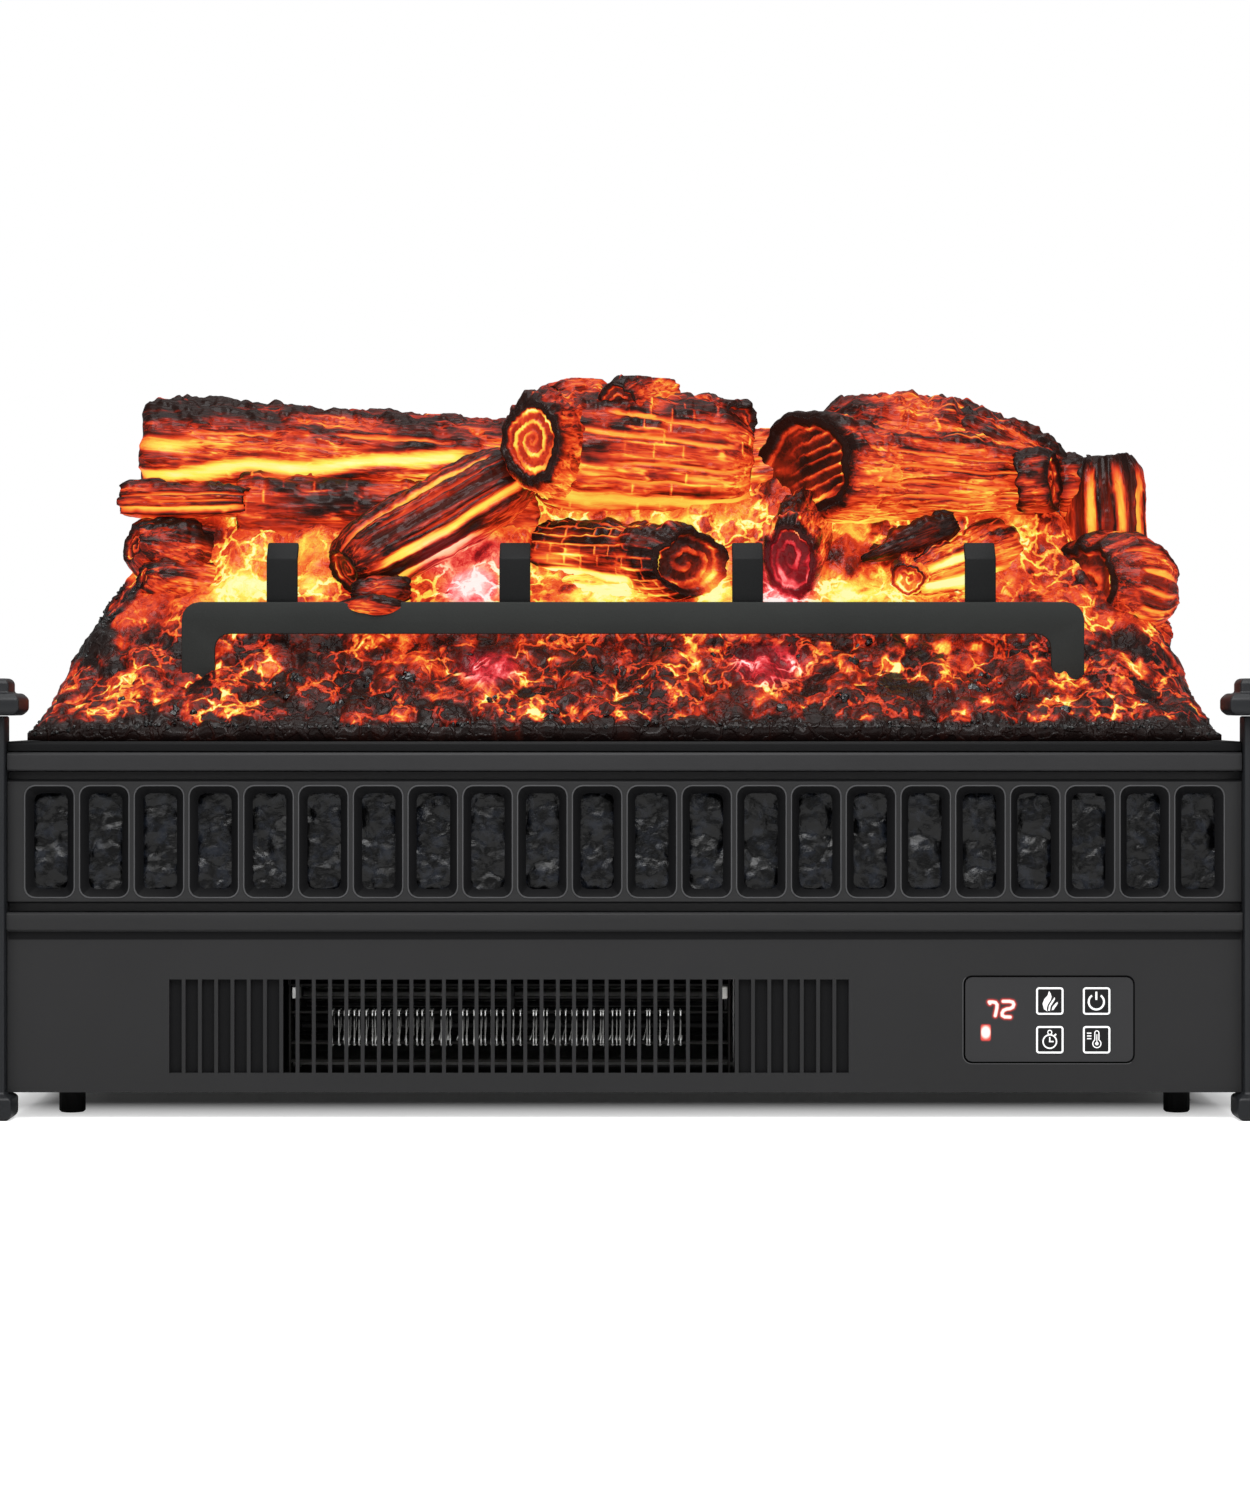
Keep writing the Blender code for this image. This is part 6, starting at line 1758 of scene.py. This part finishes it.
@dataclass
class Housing:
    """Fascias, rail, deck, posts and finials, with the window rims, coal and the rear cover's
    screws.
    """

    frame: dict
    palette: Palette
    edge: float = 0.0007
    post_edge: float = 0.0011
    window_count: int = 22
    rim_radius: float = 0.00036
    rim_width: float = 0.024
    rim_height: float = 0.055
    rim_corner: float = 0.0052
    rim_gap: float = 0.0006
    shadow_height: float = 0.0038

    def build(self) -> None:
        """Dress the fascias, rail, deck, posts and finials, then add the painted shadow strip, the
        rims, the coal and the screws.
        """
        shells = {
            "lower_fascia": ("charcoal_front", 0.0004, 1, "charcoal_plastic"),
            "upper_trim_rail": ("rail_front_lit_tone", self.edge, 3, "rail_plastic"),
            "window_fascia": ("charcoal_front", 0.0005, 2, "charcoal_plastic"),
            "top_deck": ("deck_black_shaded", self.edge, 2, "charcoal_plastic"),
            **{node: ("post_paint", self.post_edge, 3, "post_paint")
               for node in ("post_left", "post_right", "finial_left", "finial_right")},
        }
        for node, (finish, width, segments, slot) in shells.items():
            shell = refined_copy(self.frame, node, width, segments)
            smooth_by_angle(shell, 28.0, self.palette[finish])
            if node == "window_fascia":
                # Painted shade on the window funnels
                self.paint_funnel_shade(shell.data)
            settle(shell, HOUSING, node, slot=slot)
        self.add_shadow()
        self.add_rims()
        self.add_coal()
        self.add_screws()

    def add_shadow(self) -> None:
        """Dark strip that paints the deep shadow line under the proud lower rail."""
        low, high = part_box("window_fascia")
        top = low[2] - 0.0045 if low[2] < 0.1 else 0.093
        box = np.array([(x, y, z) for x in (low[0] + 0.0004, high[0] - 0.0004)
            for y in (low[1] - 0.00008, low[1] + 0.0004) for z in (top - self.shadow_height, top)])
        faces = [(0, 1, 3, 2), (4, 6, 7, 5), (0, 4, 5, 1), (2, 3, 7, 6), (0, 2, 6, 4),
            (1, 5, 7, 3)]
        settle(new_object("rail_shadow", mesh_from("rail_shadow", box, faces),
            self.palette["painted_shade_dark"]), HOUSING)

    def paint_funnel_shade(self, mesh: Mesh) -> None:
        """Paint shade on the window funnels, behind the front plane, near black.

        Args:
            mesh: the fascia's mesh.
        """
        mesh.materials.append(self.palette["painted_shade_dark"])
        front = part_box("window_fascia")[0][1]
        for face in mesh.polygons:
            if face.center.y > front + 0.00035 and abs(face.normal.y) < 0.98:
                face.material_index = 1

    def window_places(self) -> tuple[float, float, float, float]:
        """Space the windows.

        Returns:
            The first window's x, the pitch, the middle height and the front.
        """
        low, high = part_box("window_fascia")
        margin = 0.0209
        span = high[0] - low[0] - 2 * margin
        return low[0] + margin, span / (self.window_count - 1), (low[2] + high[2]) / 2, low[1]

    def add_rims(self) -> None:
        """Fine raised rim round each window, repeated with geometry nodes, in a light grey that
        paints its highlight.
        """
        first, pitch, middle, front = self.window_places()
        tree = Repeater("window_rims", Count=self.window_count, Pitch=pitch,
            Width=self.rim_width + self.rim_gap, Height=self.rim_height + self.rim_gap,
            Corner=self.rim_corner, Bead=self.rim_radius)
        outline = tree.geo("CurvePrimitiveQuadrilateral", Width=tree["Width"],
            Height=tree["Height"])
        fillet = tree.geo("FilletCurve", Curve=outline, Count=5, Radius=tree["Corner"],
            mode='POLY')
        rim = tree.moved(tree.tube(fillet, tree["Bead"], 6), STAND)
        row = tree.geo("MeshLine", Count=tree["Count"], Start_Location=(first, front, middle),
            Offset=tree.combine(tree["Pitch"], 0.0, 0.0))
        # The rims' light grey is a painted highlight
        rims = tree.bake(tree.copies(row, rim), self.palette["painted_highlight"])
        smooth_by_angle(rims, 60.0)
        settle(rims, HOUSING)

    def add_coal(self) -> None:
        """Relief of coal lumps behind the windows, displaced with geometry nodes."""
        middle, size = middle_of("coal_insert"), size_of("coal_insert")
        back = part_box("coal_insert")[1][1]
        tree = Repeater("coal_relief", Width=size[0] - 0.0004, Height=size[2] - 0.0004,
            Relief=0.0036, Lump=62.0, Grit=150.0)
        grid = tree.geo("MeshGrid", Vertices_X=640, Vertices_Y=84, Size_X=tree["Width"],
            Size_Y=tree["Height"])
        place = tree.geo("InputPosition")
        lumps = tree.out("TexVoronoi", Vector=place, Scale=tree["Lump"], feature='F1')
        grit = tree.out("TexNoise", Vector=place, Scale=tree["Grit"])
        dome = tree.math('SUBTRACT', 0.85, tree.math('MULTIPLY', lumps, lumps))
        level = tree.math('SUBTRACT', tree.math('MULTIPLY_ADD', grit, 0.55, dome), 0.3)
        heap = tree.stretch(tree.split(place)[1], 0.004, -0.018, 0.0022)
        lift = tree.math('MULTIPLY_ADD', tree.clamped(level, 0.0, 1.0), tree["Relief"], heap)
        field_ = tree.geo("SetPosition", Geometry=grid, Offset=tree.combine(0.0, 0.0, lift))
        stood = tree.moved(field_, STAND, (middle[0], back - 0.0008, middle[2]))
        settle(tree.bake(stood, self.palette["coal_gloss"], smooth=True), HOUSING, "coal_insert",
            slot="coal_plastic")

    def add_screws(self) -> None:
        """Cross head screws of the rear cover, repeated with geometry nodes."""
        low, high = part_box("rear_cover")
        inset = 0.01
        columns = 5
        span = (high[0] - low[0] - 2 * inset) / (columns - 1)
        places = [(low[0] + inset + i * span, high[1], z) for z in (low[2] + inset,
            high[2] - inset) for i in range(columns)]
        base = bpy.data.meshes.new("screw_places")
        base.from_pydata(places, [], [])
        tree = Repeater("case_screws", Radius=0.0032, Height=0.0016, Slot=0.0008, Reach=0.0042)
        head = tree.geo("MeshCylinder", Vertices=20, Radius=tree["Radius"], Depth=tree["Height"])
        cross = tree.geo("MeshBoolean", Mesh_1=head, operation='DIFFERENCE', solver='EXACT')
        for x, y in (("Reach", "Slot"), ("Slot", "Reach")):
            bar = tree.geo("MeshCube", Size=tree.combine(tree[x], tree[y], tree["Height"]))
            tree.fill(cross.node, Mesh_2=tree.moved(bar, shift=(0, 0, 0.001)))
        screw = tree.moved(cross, (-math.pi / 2, 0, 0))
        screws = tree.bake(tree.copies(tree["Geometry"], screw), self.palette["screw_zinc"], base)
        settle(screws, HOUSING)


@dataclass
class Grate:
    """Bar, legs and tines of the grate."""

    frame: dict
    palette: Palette
    edge: float = 0.0009

    def build(self) -> None:
        """Round the plates' edges and paint them."""
        finish = "grate_paint"
        for node in ("grate_frame", *(f"grate_tine_{number}" for number in range(1, 5))):
            shell = refined_copy(self.frame, node, self.edge, 2)
            smooth_by_angle(shell, 30.0, self.palette[finish])
            settle(shell, HOUSING, node, slot="grate_paint")
            finish = "tine_paint"


@dataclass
class Heater:
    """The heater's resistance winding."""

    palette: Palette
    turns: int = 62
    steps: int = 16
    wire_radius: float = 0.00031

    def build(self) -> None:
        """Wind the element with geometry nodes."""
        size = size_of("heating_wire")
        tree = Repeater("element_winding", Turns=self.turns, Length=size[0] - 0.002,
            Wire=self.wire_radius, Half_Depth=size[1] / 2 - 0.0012,
            Half_Height=size[2] / 2 - 0.001)
        steps = float(self.steps)
        line = tree.geo("CurvePrimitiveLine", End=(1, 0, 0))
        fine = tree.geo("ResampleCurve", Curve=line,
            Count=tree.math('MULTIPLY', tree["Turns"], steps))
        index = tree.geo("InputIndex")
        phase = tree.math('MULTIPLY', index, 2 * math.pi / self.steps)
        part = tree.math('DIVIDE', index, steps)
        back = tree.math('MULTIPLY', tree.math('SUBTRACT', tree.math('FRACT', part), 0.75), 4.0)
        place = tree.math('ADD', tree.math('FLOOR', part), tree.math('MAXIMUM', back, 0.0))
        share = tree.math('SUBTRACT', tree.math('DIVIDE', place, tree["Turns"]), 0.5)
        across, rise = (tree.clamped(tree.math('MULTIPLY', tree.math(wave, phase), 1.5), -1.0, 1.0)
            for wave in ('COSINE', 'SINE'))
        uneven = tree.out("TexNoise", W=place, Scale=0.7, noise_dimensions='1D')
        shift = tree.math('MULTIPLY_ADD', uneven, 0.005, -0.0025)
        spot = tree.combine(tree.math('ADD', tree.math('MULTIPLY', share, tree["Length"]), shift),
            tree.math('MULTIPLY', across, tree["Half Depth"]), tree.math('MULTIPLY', rise,
            tree["Half Height"]))
        bend = tree.geo("SetPosition", Geometry=fine, Position=spot)
        bulb = tree.geo("MeshIcoSphere", Subdivisions=2, Radius=self.wire_radius * 2.0)
        step = tree.math('MODULO', index, steps)
        first, second = (tree.math('COMPARE', step, float(turn), 0.25)
            for turn in (self.steps // 4 + 1, 3 * self.steps // 4 - 1))
        points = tree.geo("CurveToPoints", Curve=bend, mode='EVALUATED')
        knots = tree.copies(points, bulb, Selection=tree.math('MAXIMUM', first, second))
        both = tree.geo("JoinGeometry")
        for shape in (tree.tube(bend, tree["Wire"], 5), knots):
            tree.fill(both.node, shape)
        wound = tree.moved(both, shift=middle_of("heating_wire"))
        settle(tree.bake(wound, self.palette["resistance_wire"], smooth=True), HOUSING,
            "heating_wire", slot="heater_wire")


@dataclass
class ControlPanel:
    """Key icons, display digits and indicator."""

    palette: Palette
    frame_line: float = 0.00092
    relief: float = 0.00012
    film_lap: float = 0.0006

    def ribbon(self, outline: Outline, width: float, closed: bool,
               y: float) -> tuple[list, list]:
        """Sweep a flat line in the panel's plane.

        Args:
            outline: (x, z) points.
            width: the line's width.
            closed: whether it joins up.
            y: the line's front.

        Returns:
            Vertices and faces.
        """
        points = [Vector((x, z)) for x, z in outline]
        count = len(points)
        verts, faces = [], []
        for i, point in enumerate(points):
            before = points[i - 1] if i or closed else point
            after = points[(i + 1) % count] if i < count - 1 or closed else point
            along = (after - before).normalized()
            side = Vector((-along.y, along.x)) * width / 2
            for offset in (side, -side):
                for depth in (y, y + self.relief):
                    verts.append((point.x + offset.x, depth, point.y + offset.y))
        spans = count if closed else count - 1
        for i in range(spans):
            a, b = 4 * i, 4 * ((i + 1) % count)
            faces += [(a, b, b + 2, a + 2), (a + 2, b + 2, b + 3, a + 3),
                (a + 3, b + 3, b + 1, a + 1), (a + 1, b + 1, b, a)]
        if not closed:
            end = 4 * (count - 1)
            faces += [(0, 2, 3, 1), (end, end + 1, end + 3, end + 2)]
        return verts, faces

    def arc(self, centre: tuple[float, float], radius: float, start: float, stop: float,
            steps: int = 20) -> list[tuple[float, float]]:
        """Return the points of an arc; angles are in degrees."""
        angles = [math.radians(start + (stop - start) * i / steps) for i in range(steps + 1)]
        return [(centre[0] + radius * math.cos(a), centre[1] + radius * math.sin(a))
            for a in angles]

    def rounded(self, middle: tuple[float, float], half: tuple[float, float], corner: float,
                steps: int) -> list[tuple[float, float]]:
        """Outline a rounded rectangle.

        Args:
            middle: its middle.
            half: its half width and half height.
            corner: its corner radius.
            steps: the steps in each corner.

        Returns:
            Its (x, z) points.
        """
        points = []
        for index, (sx, sz) in enumerate(((1, 1), (-1, 1), (-1, -1), (1, -1))):
            spot = (middle[0] + sx * (half[0] - corner), middle[1] + sz * (half[1] - corner))
            points += self.arc(spot, corner, 90 * index, 90 * index + 90, steps)
        return points

    def plate(self, outline: Outline, y: float) -> tuple[list, list]:
        """Fill an outline in the panel's plane.

        Args:
            outline: (x, z) points.
            y: the plate's front.

        Returns:
            Vertices and faces.
        """
        count = len(outline)
        verts = [(x, depth, z) for depth in (y, y + self.relief) for x, z in outline]
        area = sum(a[0] * b[1] - b[0] * a[1]
            for a, b in zip(outline, list(outline[1:]) + [outline[0]]))
        order = list(range(count)) if area > 0 else list(range(count - 1, -1, -1))
        faces = [tuple(order)]
        for a, b in zip(order, order[1:] + order[:1]):
            faces.append((a, a + count, b + count, b))
        return verts, faces

    def icons(self) -> dict[str, tuple[list[tuple[Outline, bool, float]], list[Outline]]]:
        """Draw the keys' icons, in key widths.

        Returns:
            Each key's strokes (line, closed, width) and fills.
        """
        tongues = [
            [(-0.03, 0.37), (-0.075, 0.21), (-0.195, 0.08), (-0.265, -0.1), (-0.21, -0.3),
             (-0.09, -0.38), (-0.11, -0.26), (-0.075, -0.14), (0.035, 0.035), (0.066, 0.16),
             (0.03, 0.28)],
            [(0.177, 0.146), (0.08, 0.013), (-0.03, -0.164), (-0.06, -0.354), (0.0, -0.363),
             (0.035, -0.186), (0.146, -0.01), (0.19, 0.07)],
            [(0.279, -0.03), (0.204, -0.09), (0.1, -0.208), (0.066, -0.34), (0.133, -0.327),
             (0.248, -0.164), (0.29, -0.09)]]
        bulb = self.arc((0.01, -0.14), 0.15, 60, -240, 18)
        cap = self.arc((0.01, 0.25), 0.075, 180, 0, 8)
        return {
            "key_flame": ([], tongues),
            "key_power": ([(self.arc((-0.01, -0.03), 0.28, 125, 415), False, 0.07),
                           ([(-0.01, 0.04), (-0.01, 0.34)], False, 0.07)], []),
            "key_timer": ([(self.arc((0, -0.066), 0.245, 0, 345, 26), True, 0.05),
                           (self.arc((0, 0.27), 0.075, 0, 330, 11), True, 0.036),
                           ([(0.17, 0.15), (0.23, 0.21)], False, 0.06),
                           ([(0, 0.1), (0, -0.066)], False, 0.048),
                           ([(-0.03, -0.066), (0.14, -0.066)], False, 0.048)], []),
            "key_thermostat": ([(bulb + cap, True, 0.038),
                                ([(0.01, 0.2), (0.01, -0.12)], False, 0.032),
                                *(([(-0.35, z), (-0.19, z)], False, 0.042)
                                  for z in (0.24, 0.14, 0.04))],
                               [self.arc((0.01, -0.14), 0.065, 0, 330, 11)]),
        }

    def build(self) -> None:
        """Print the keys, paint the groove's shade and the highlight on the plate's edge, then
        light the display and the indicator.
        """
        for key, (strokes, fills) in self.icons().items():
            x, _, z = middle_of(key)
            size = size_of(key)[0]
            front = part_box(key)[0][1] - self.relief * 0.7
            half = size / 2 - self.frame_line / 2
            parts = [self.ribbon(self.rounded((0, 0), (half, half), 0.0011, 6), self.frame_line,
                True, front)]
            parts += [self.ribbon([(a * size, b * size) for a, b in line], width * size, closed,
                front) for line, closed, width in strokes]
            parts += [self.plate([(a * size, b * size) for a, b in fill], front) for fill in fills]
            verts, faces = joined(parts)
            verts += (x, 0, z)
            mesh = mesh_from(key + "_print", verts, faces)
            # The icons' print glows evenly, as painted light
            set_attribute(mesh, "glow", np.full(len(verts), 1.0))
            settle(new_object(key + "_print", mesh, self.palette["icon_print_painted_glow"]), key + "_body")
        self.add_groove()
        self.add_display()
        self.add_indicator()

    def add_groove(self) -> None:
        """Painted shade line round the plate, and a painted highlight along its outer edge where
        light catches it.
        """
        x, _, z = middle_of("control_panel")
        wide, _, tall = size_of("control_panel")
        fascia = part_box("window_fascia")[0][1]
        for name, grow, width, finish, depth, closed in (
                ("panel_groove", 0.0002, 0.0014, "painted_groove_shade", 0.00006, True),
                ("panel_edge_light", 0.00115, 0.00035, "painted_highlight", 0.00004, False)):
            points = self.rounded((x, z), (wide / 2 + grow, tall / 2 + grow), 0.0034 + grow, 8)
            verts, faces = self.ribbon(points if closed else points[13:31], width, closed,
                fascia - depth)
            settle(new_object(name, mesh_from(name, np.array(verts), faces), self.palette[finish]),
                HOUSING)

    def segments(self) -> list[tuple[Array, Array]]:
        """Draw the digits 7 and 2 about the display's centre.

        Returns:
            The ends of each lit stroke.
        """
        seven = ((-5.7, 2.6), (-6.1, 3.3), (-4.4, 3.3), (-2.9, 3.0), (-2.2, 1.9), (-2.3, 0.2),
                 (-2.7, -1.7), (-3.1, -3.5))
        two = ((0.8, 3.6), (4.0, 3.6), (5.6, 3.2), (6.1, 2.1), (5.6, 0.7), (4.2, 0.0),
               (2.6, -0.2), (1.0, -0.9), (0.3, -2.2), (0.4, -3.4), (1.6, -4.1), (4.3, -4.2))
        return [(np.array(a) * 0.001, np.array(b) * 0.001) for run in (seven, two)
                for a, b in zip(run, run[1:])]

    def glow_sheet(self, name: str, node: str, measure: Callable[[Array], Array],
                   columns: int, rows: int) -> None:
        """Make a lit film over a CAD pane and its gap.

        Args:
            name: the piece's name.
            node: the pane.
            measure: gives the glow at places from its centre.
            columns: points across.
            rows: points up.
        """
        low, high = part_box(node)
        inset = -self.film_lap
        x = np.linspace(low[0] + inset, high[0] - inset, columns)
        z = np.linspace(low[2] + inset, high[2] - inset, rows)
        grid_x, grid_z = np.meshgrid(x, z)
        front = np.full(grid_x.size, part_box("control_panel")[0][1] - 0.00003)
        verts = np.stack([grid_x.ravel(), front, grid_z.ravel()], axis=1)
        mesh = mesh_from(name, verts, sheet_faces(rows, columns))
        centre = np.array(middle_of(node))[[0, 2]]
        set_attribute(mesh, "glow", measure(verts[:, (0, 2)] - centre))
        settle(new_object(name, mesh, self.palette["display_glow"]), HOUSING)

    def add_display(self) -> None:
        """Seven segment digits with a red halo."""
        lit = self.segments()

        def measure(points: Array) -> Array:
            """Glow by the distance to the nearest stroke.

            Args:
                points: places from the pane's centre.

            Returns:
                The glow.
            """
            best = np.full(len(points), 1.0)
            for start, end in lit:
                run = end - start
                share = np.clip(((points - start) @ run) / (run @ run), 0, 1)
                gap = np.linalg.norm(points - start - share[:, None] * run, axis=1)
                best = np.minimum(best, gap)
            return np.clip(1 - (best - 0.00062) / 0.0015, 0, 1)

        self.glow_sheet("display_digits", "display_window", measure, 180, 116)

    def add_indicator(self) -> None:
        """Red indicator with a white-hot middle."""

        def measure(points: Array) -> Array:
            """Glow by the distance to the middle.

            Args:
                points: places from the pane's centre.

            Returns:
                The glow.
            """
            gap = ((points[:, 0] / 0.0027) ** 6 + (points[:, 1] / 0.0043) ** 6) ** (1 / 6)
            core = np.hypot(points[:, 0] / 0.002, (points[:, 1] - 0.0002) / 0.0026)
            level = np.clip(1.42 - 0.44 * core, 0.78, 1.0)
            return level * (1 - ease_between(0.86, 1.1, gap))

        self.glow_sheet("indicator_glow", "indicator_lens", measure, 40, 52)


@dataclass
class Carried:
    """CAD nodes that stay and only get a finish, and the bearing bush."""

    frame: dict
    palette: Palette
    bush_edge: float = 0.0003
    bush_share: float = 0.93
    finishes: dict[str, tuple[str, ...]] = field(default_factory=lambda: {
        "case_powder": ("housing_pan", "rear_cover"),
        # The duct is painted near black as the shade behind the grille's slots
        "painted_shade_dark": ("air_duct",),
        "rubber": ("foot_front_left", "foot_front_right", "foot_rear_left",
                   "foot_rear_right", "cord_gland"),
        "duct_zinc": ("terminal_clip", "blower_scroll", "motor_bracket",
                      "blower_shaft"),
        "mica": ("heater_frame",),
        "steatite": ("terminal_block", "thermal_cutout"),
        "dark_wheel": ("blower_wheel",),
        "laminations": ("motor_stator", "motor_rotor"),
        "copper": ("motor_coil",),
        "green_board": ("control_board", "power_board"),
        "white_board": ("led_board_front", "led_board_rear"),
        "panel_satin": ("control_panel", "display_window", "indicator_lens"),
        "key_film": ("key_flame", "key_power", "key_timer", "key_thermostat"),
    })

    def add_bush(self) -> None:
        """Round the bearing bush and set its ends back, clear of the turning wheel."""
        bush = refined_copy(self.frame, "bearing_bush", self.bush_edge)
        middle = middle_of("bearing_bush")[0]
        for vertex in bush.data.vertices:
            vertex.co.x = middle + (vertex.co.x - middle) * self.bush_share
        smooth_by_angle(bush, 35.0, self.palette["copper"])
        settle(bush, HOUSING, "bearing_bush", slot="copper_coil")

    def build(self) -> None:
        """Assign the finishes."""
        self.add_bush()
        for finish, nodes in self.finishes.items():
            for node in nodes:
                obj = self.frame["nodes"][node]
                if not obj.material_slots:
                    obj.data.materials.append(self.palette[finish])
                for slot in obj.material_slots:
                    slot.material = self.palette[finish]
                log.info("%s: %s", node, finish)


def main() -> None:
    """Build every sub-assembly in order."""
    logging.basicConfig(level=logging.INFO, format="%(name)s %(message)s")
    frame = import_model()
    scene = bpy.context.scene
    scene.view_settings.view_transform = 'Standard'
    photo = PhotoFrame()
    photo.add_camera()
    Studio().build()
    palette = Palette()
    pile = LogPile(photo, palette)
    pile.build()
    EmberBed(frame, palette, pile).build()
    Housing(frame, palette).build()
    Grate(frame, palette).build()
    Heater(palette).build()
    ControlPanel(palette).build()
    Carried(frame, palette).build()


if __name__ == "__main__":
    main()
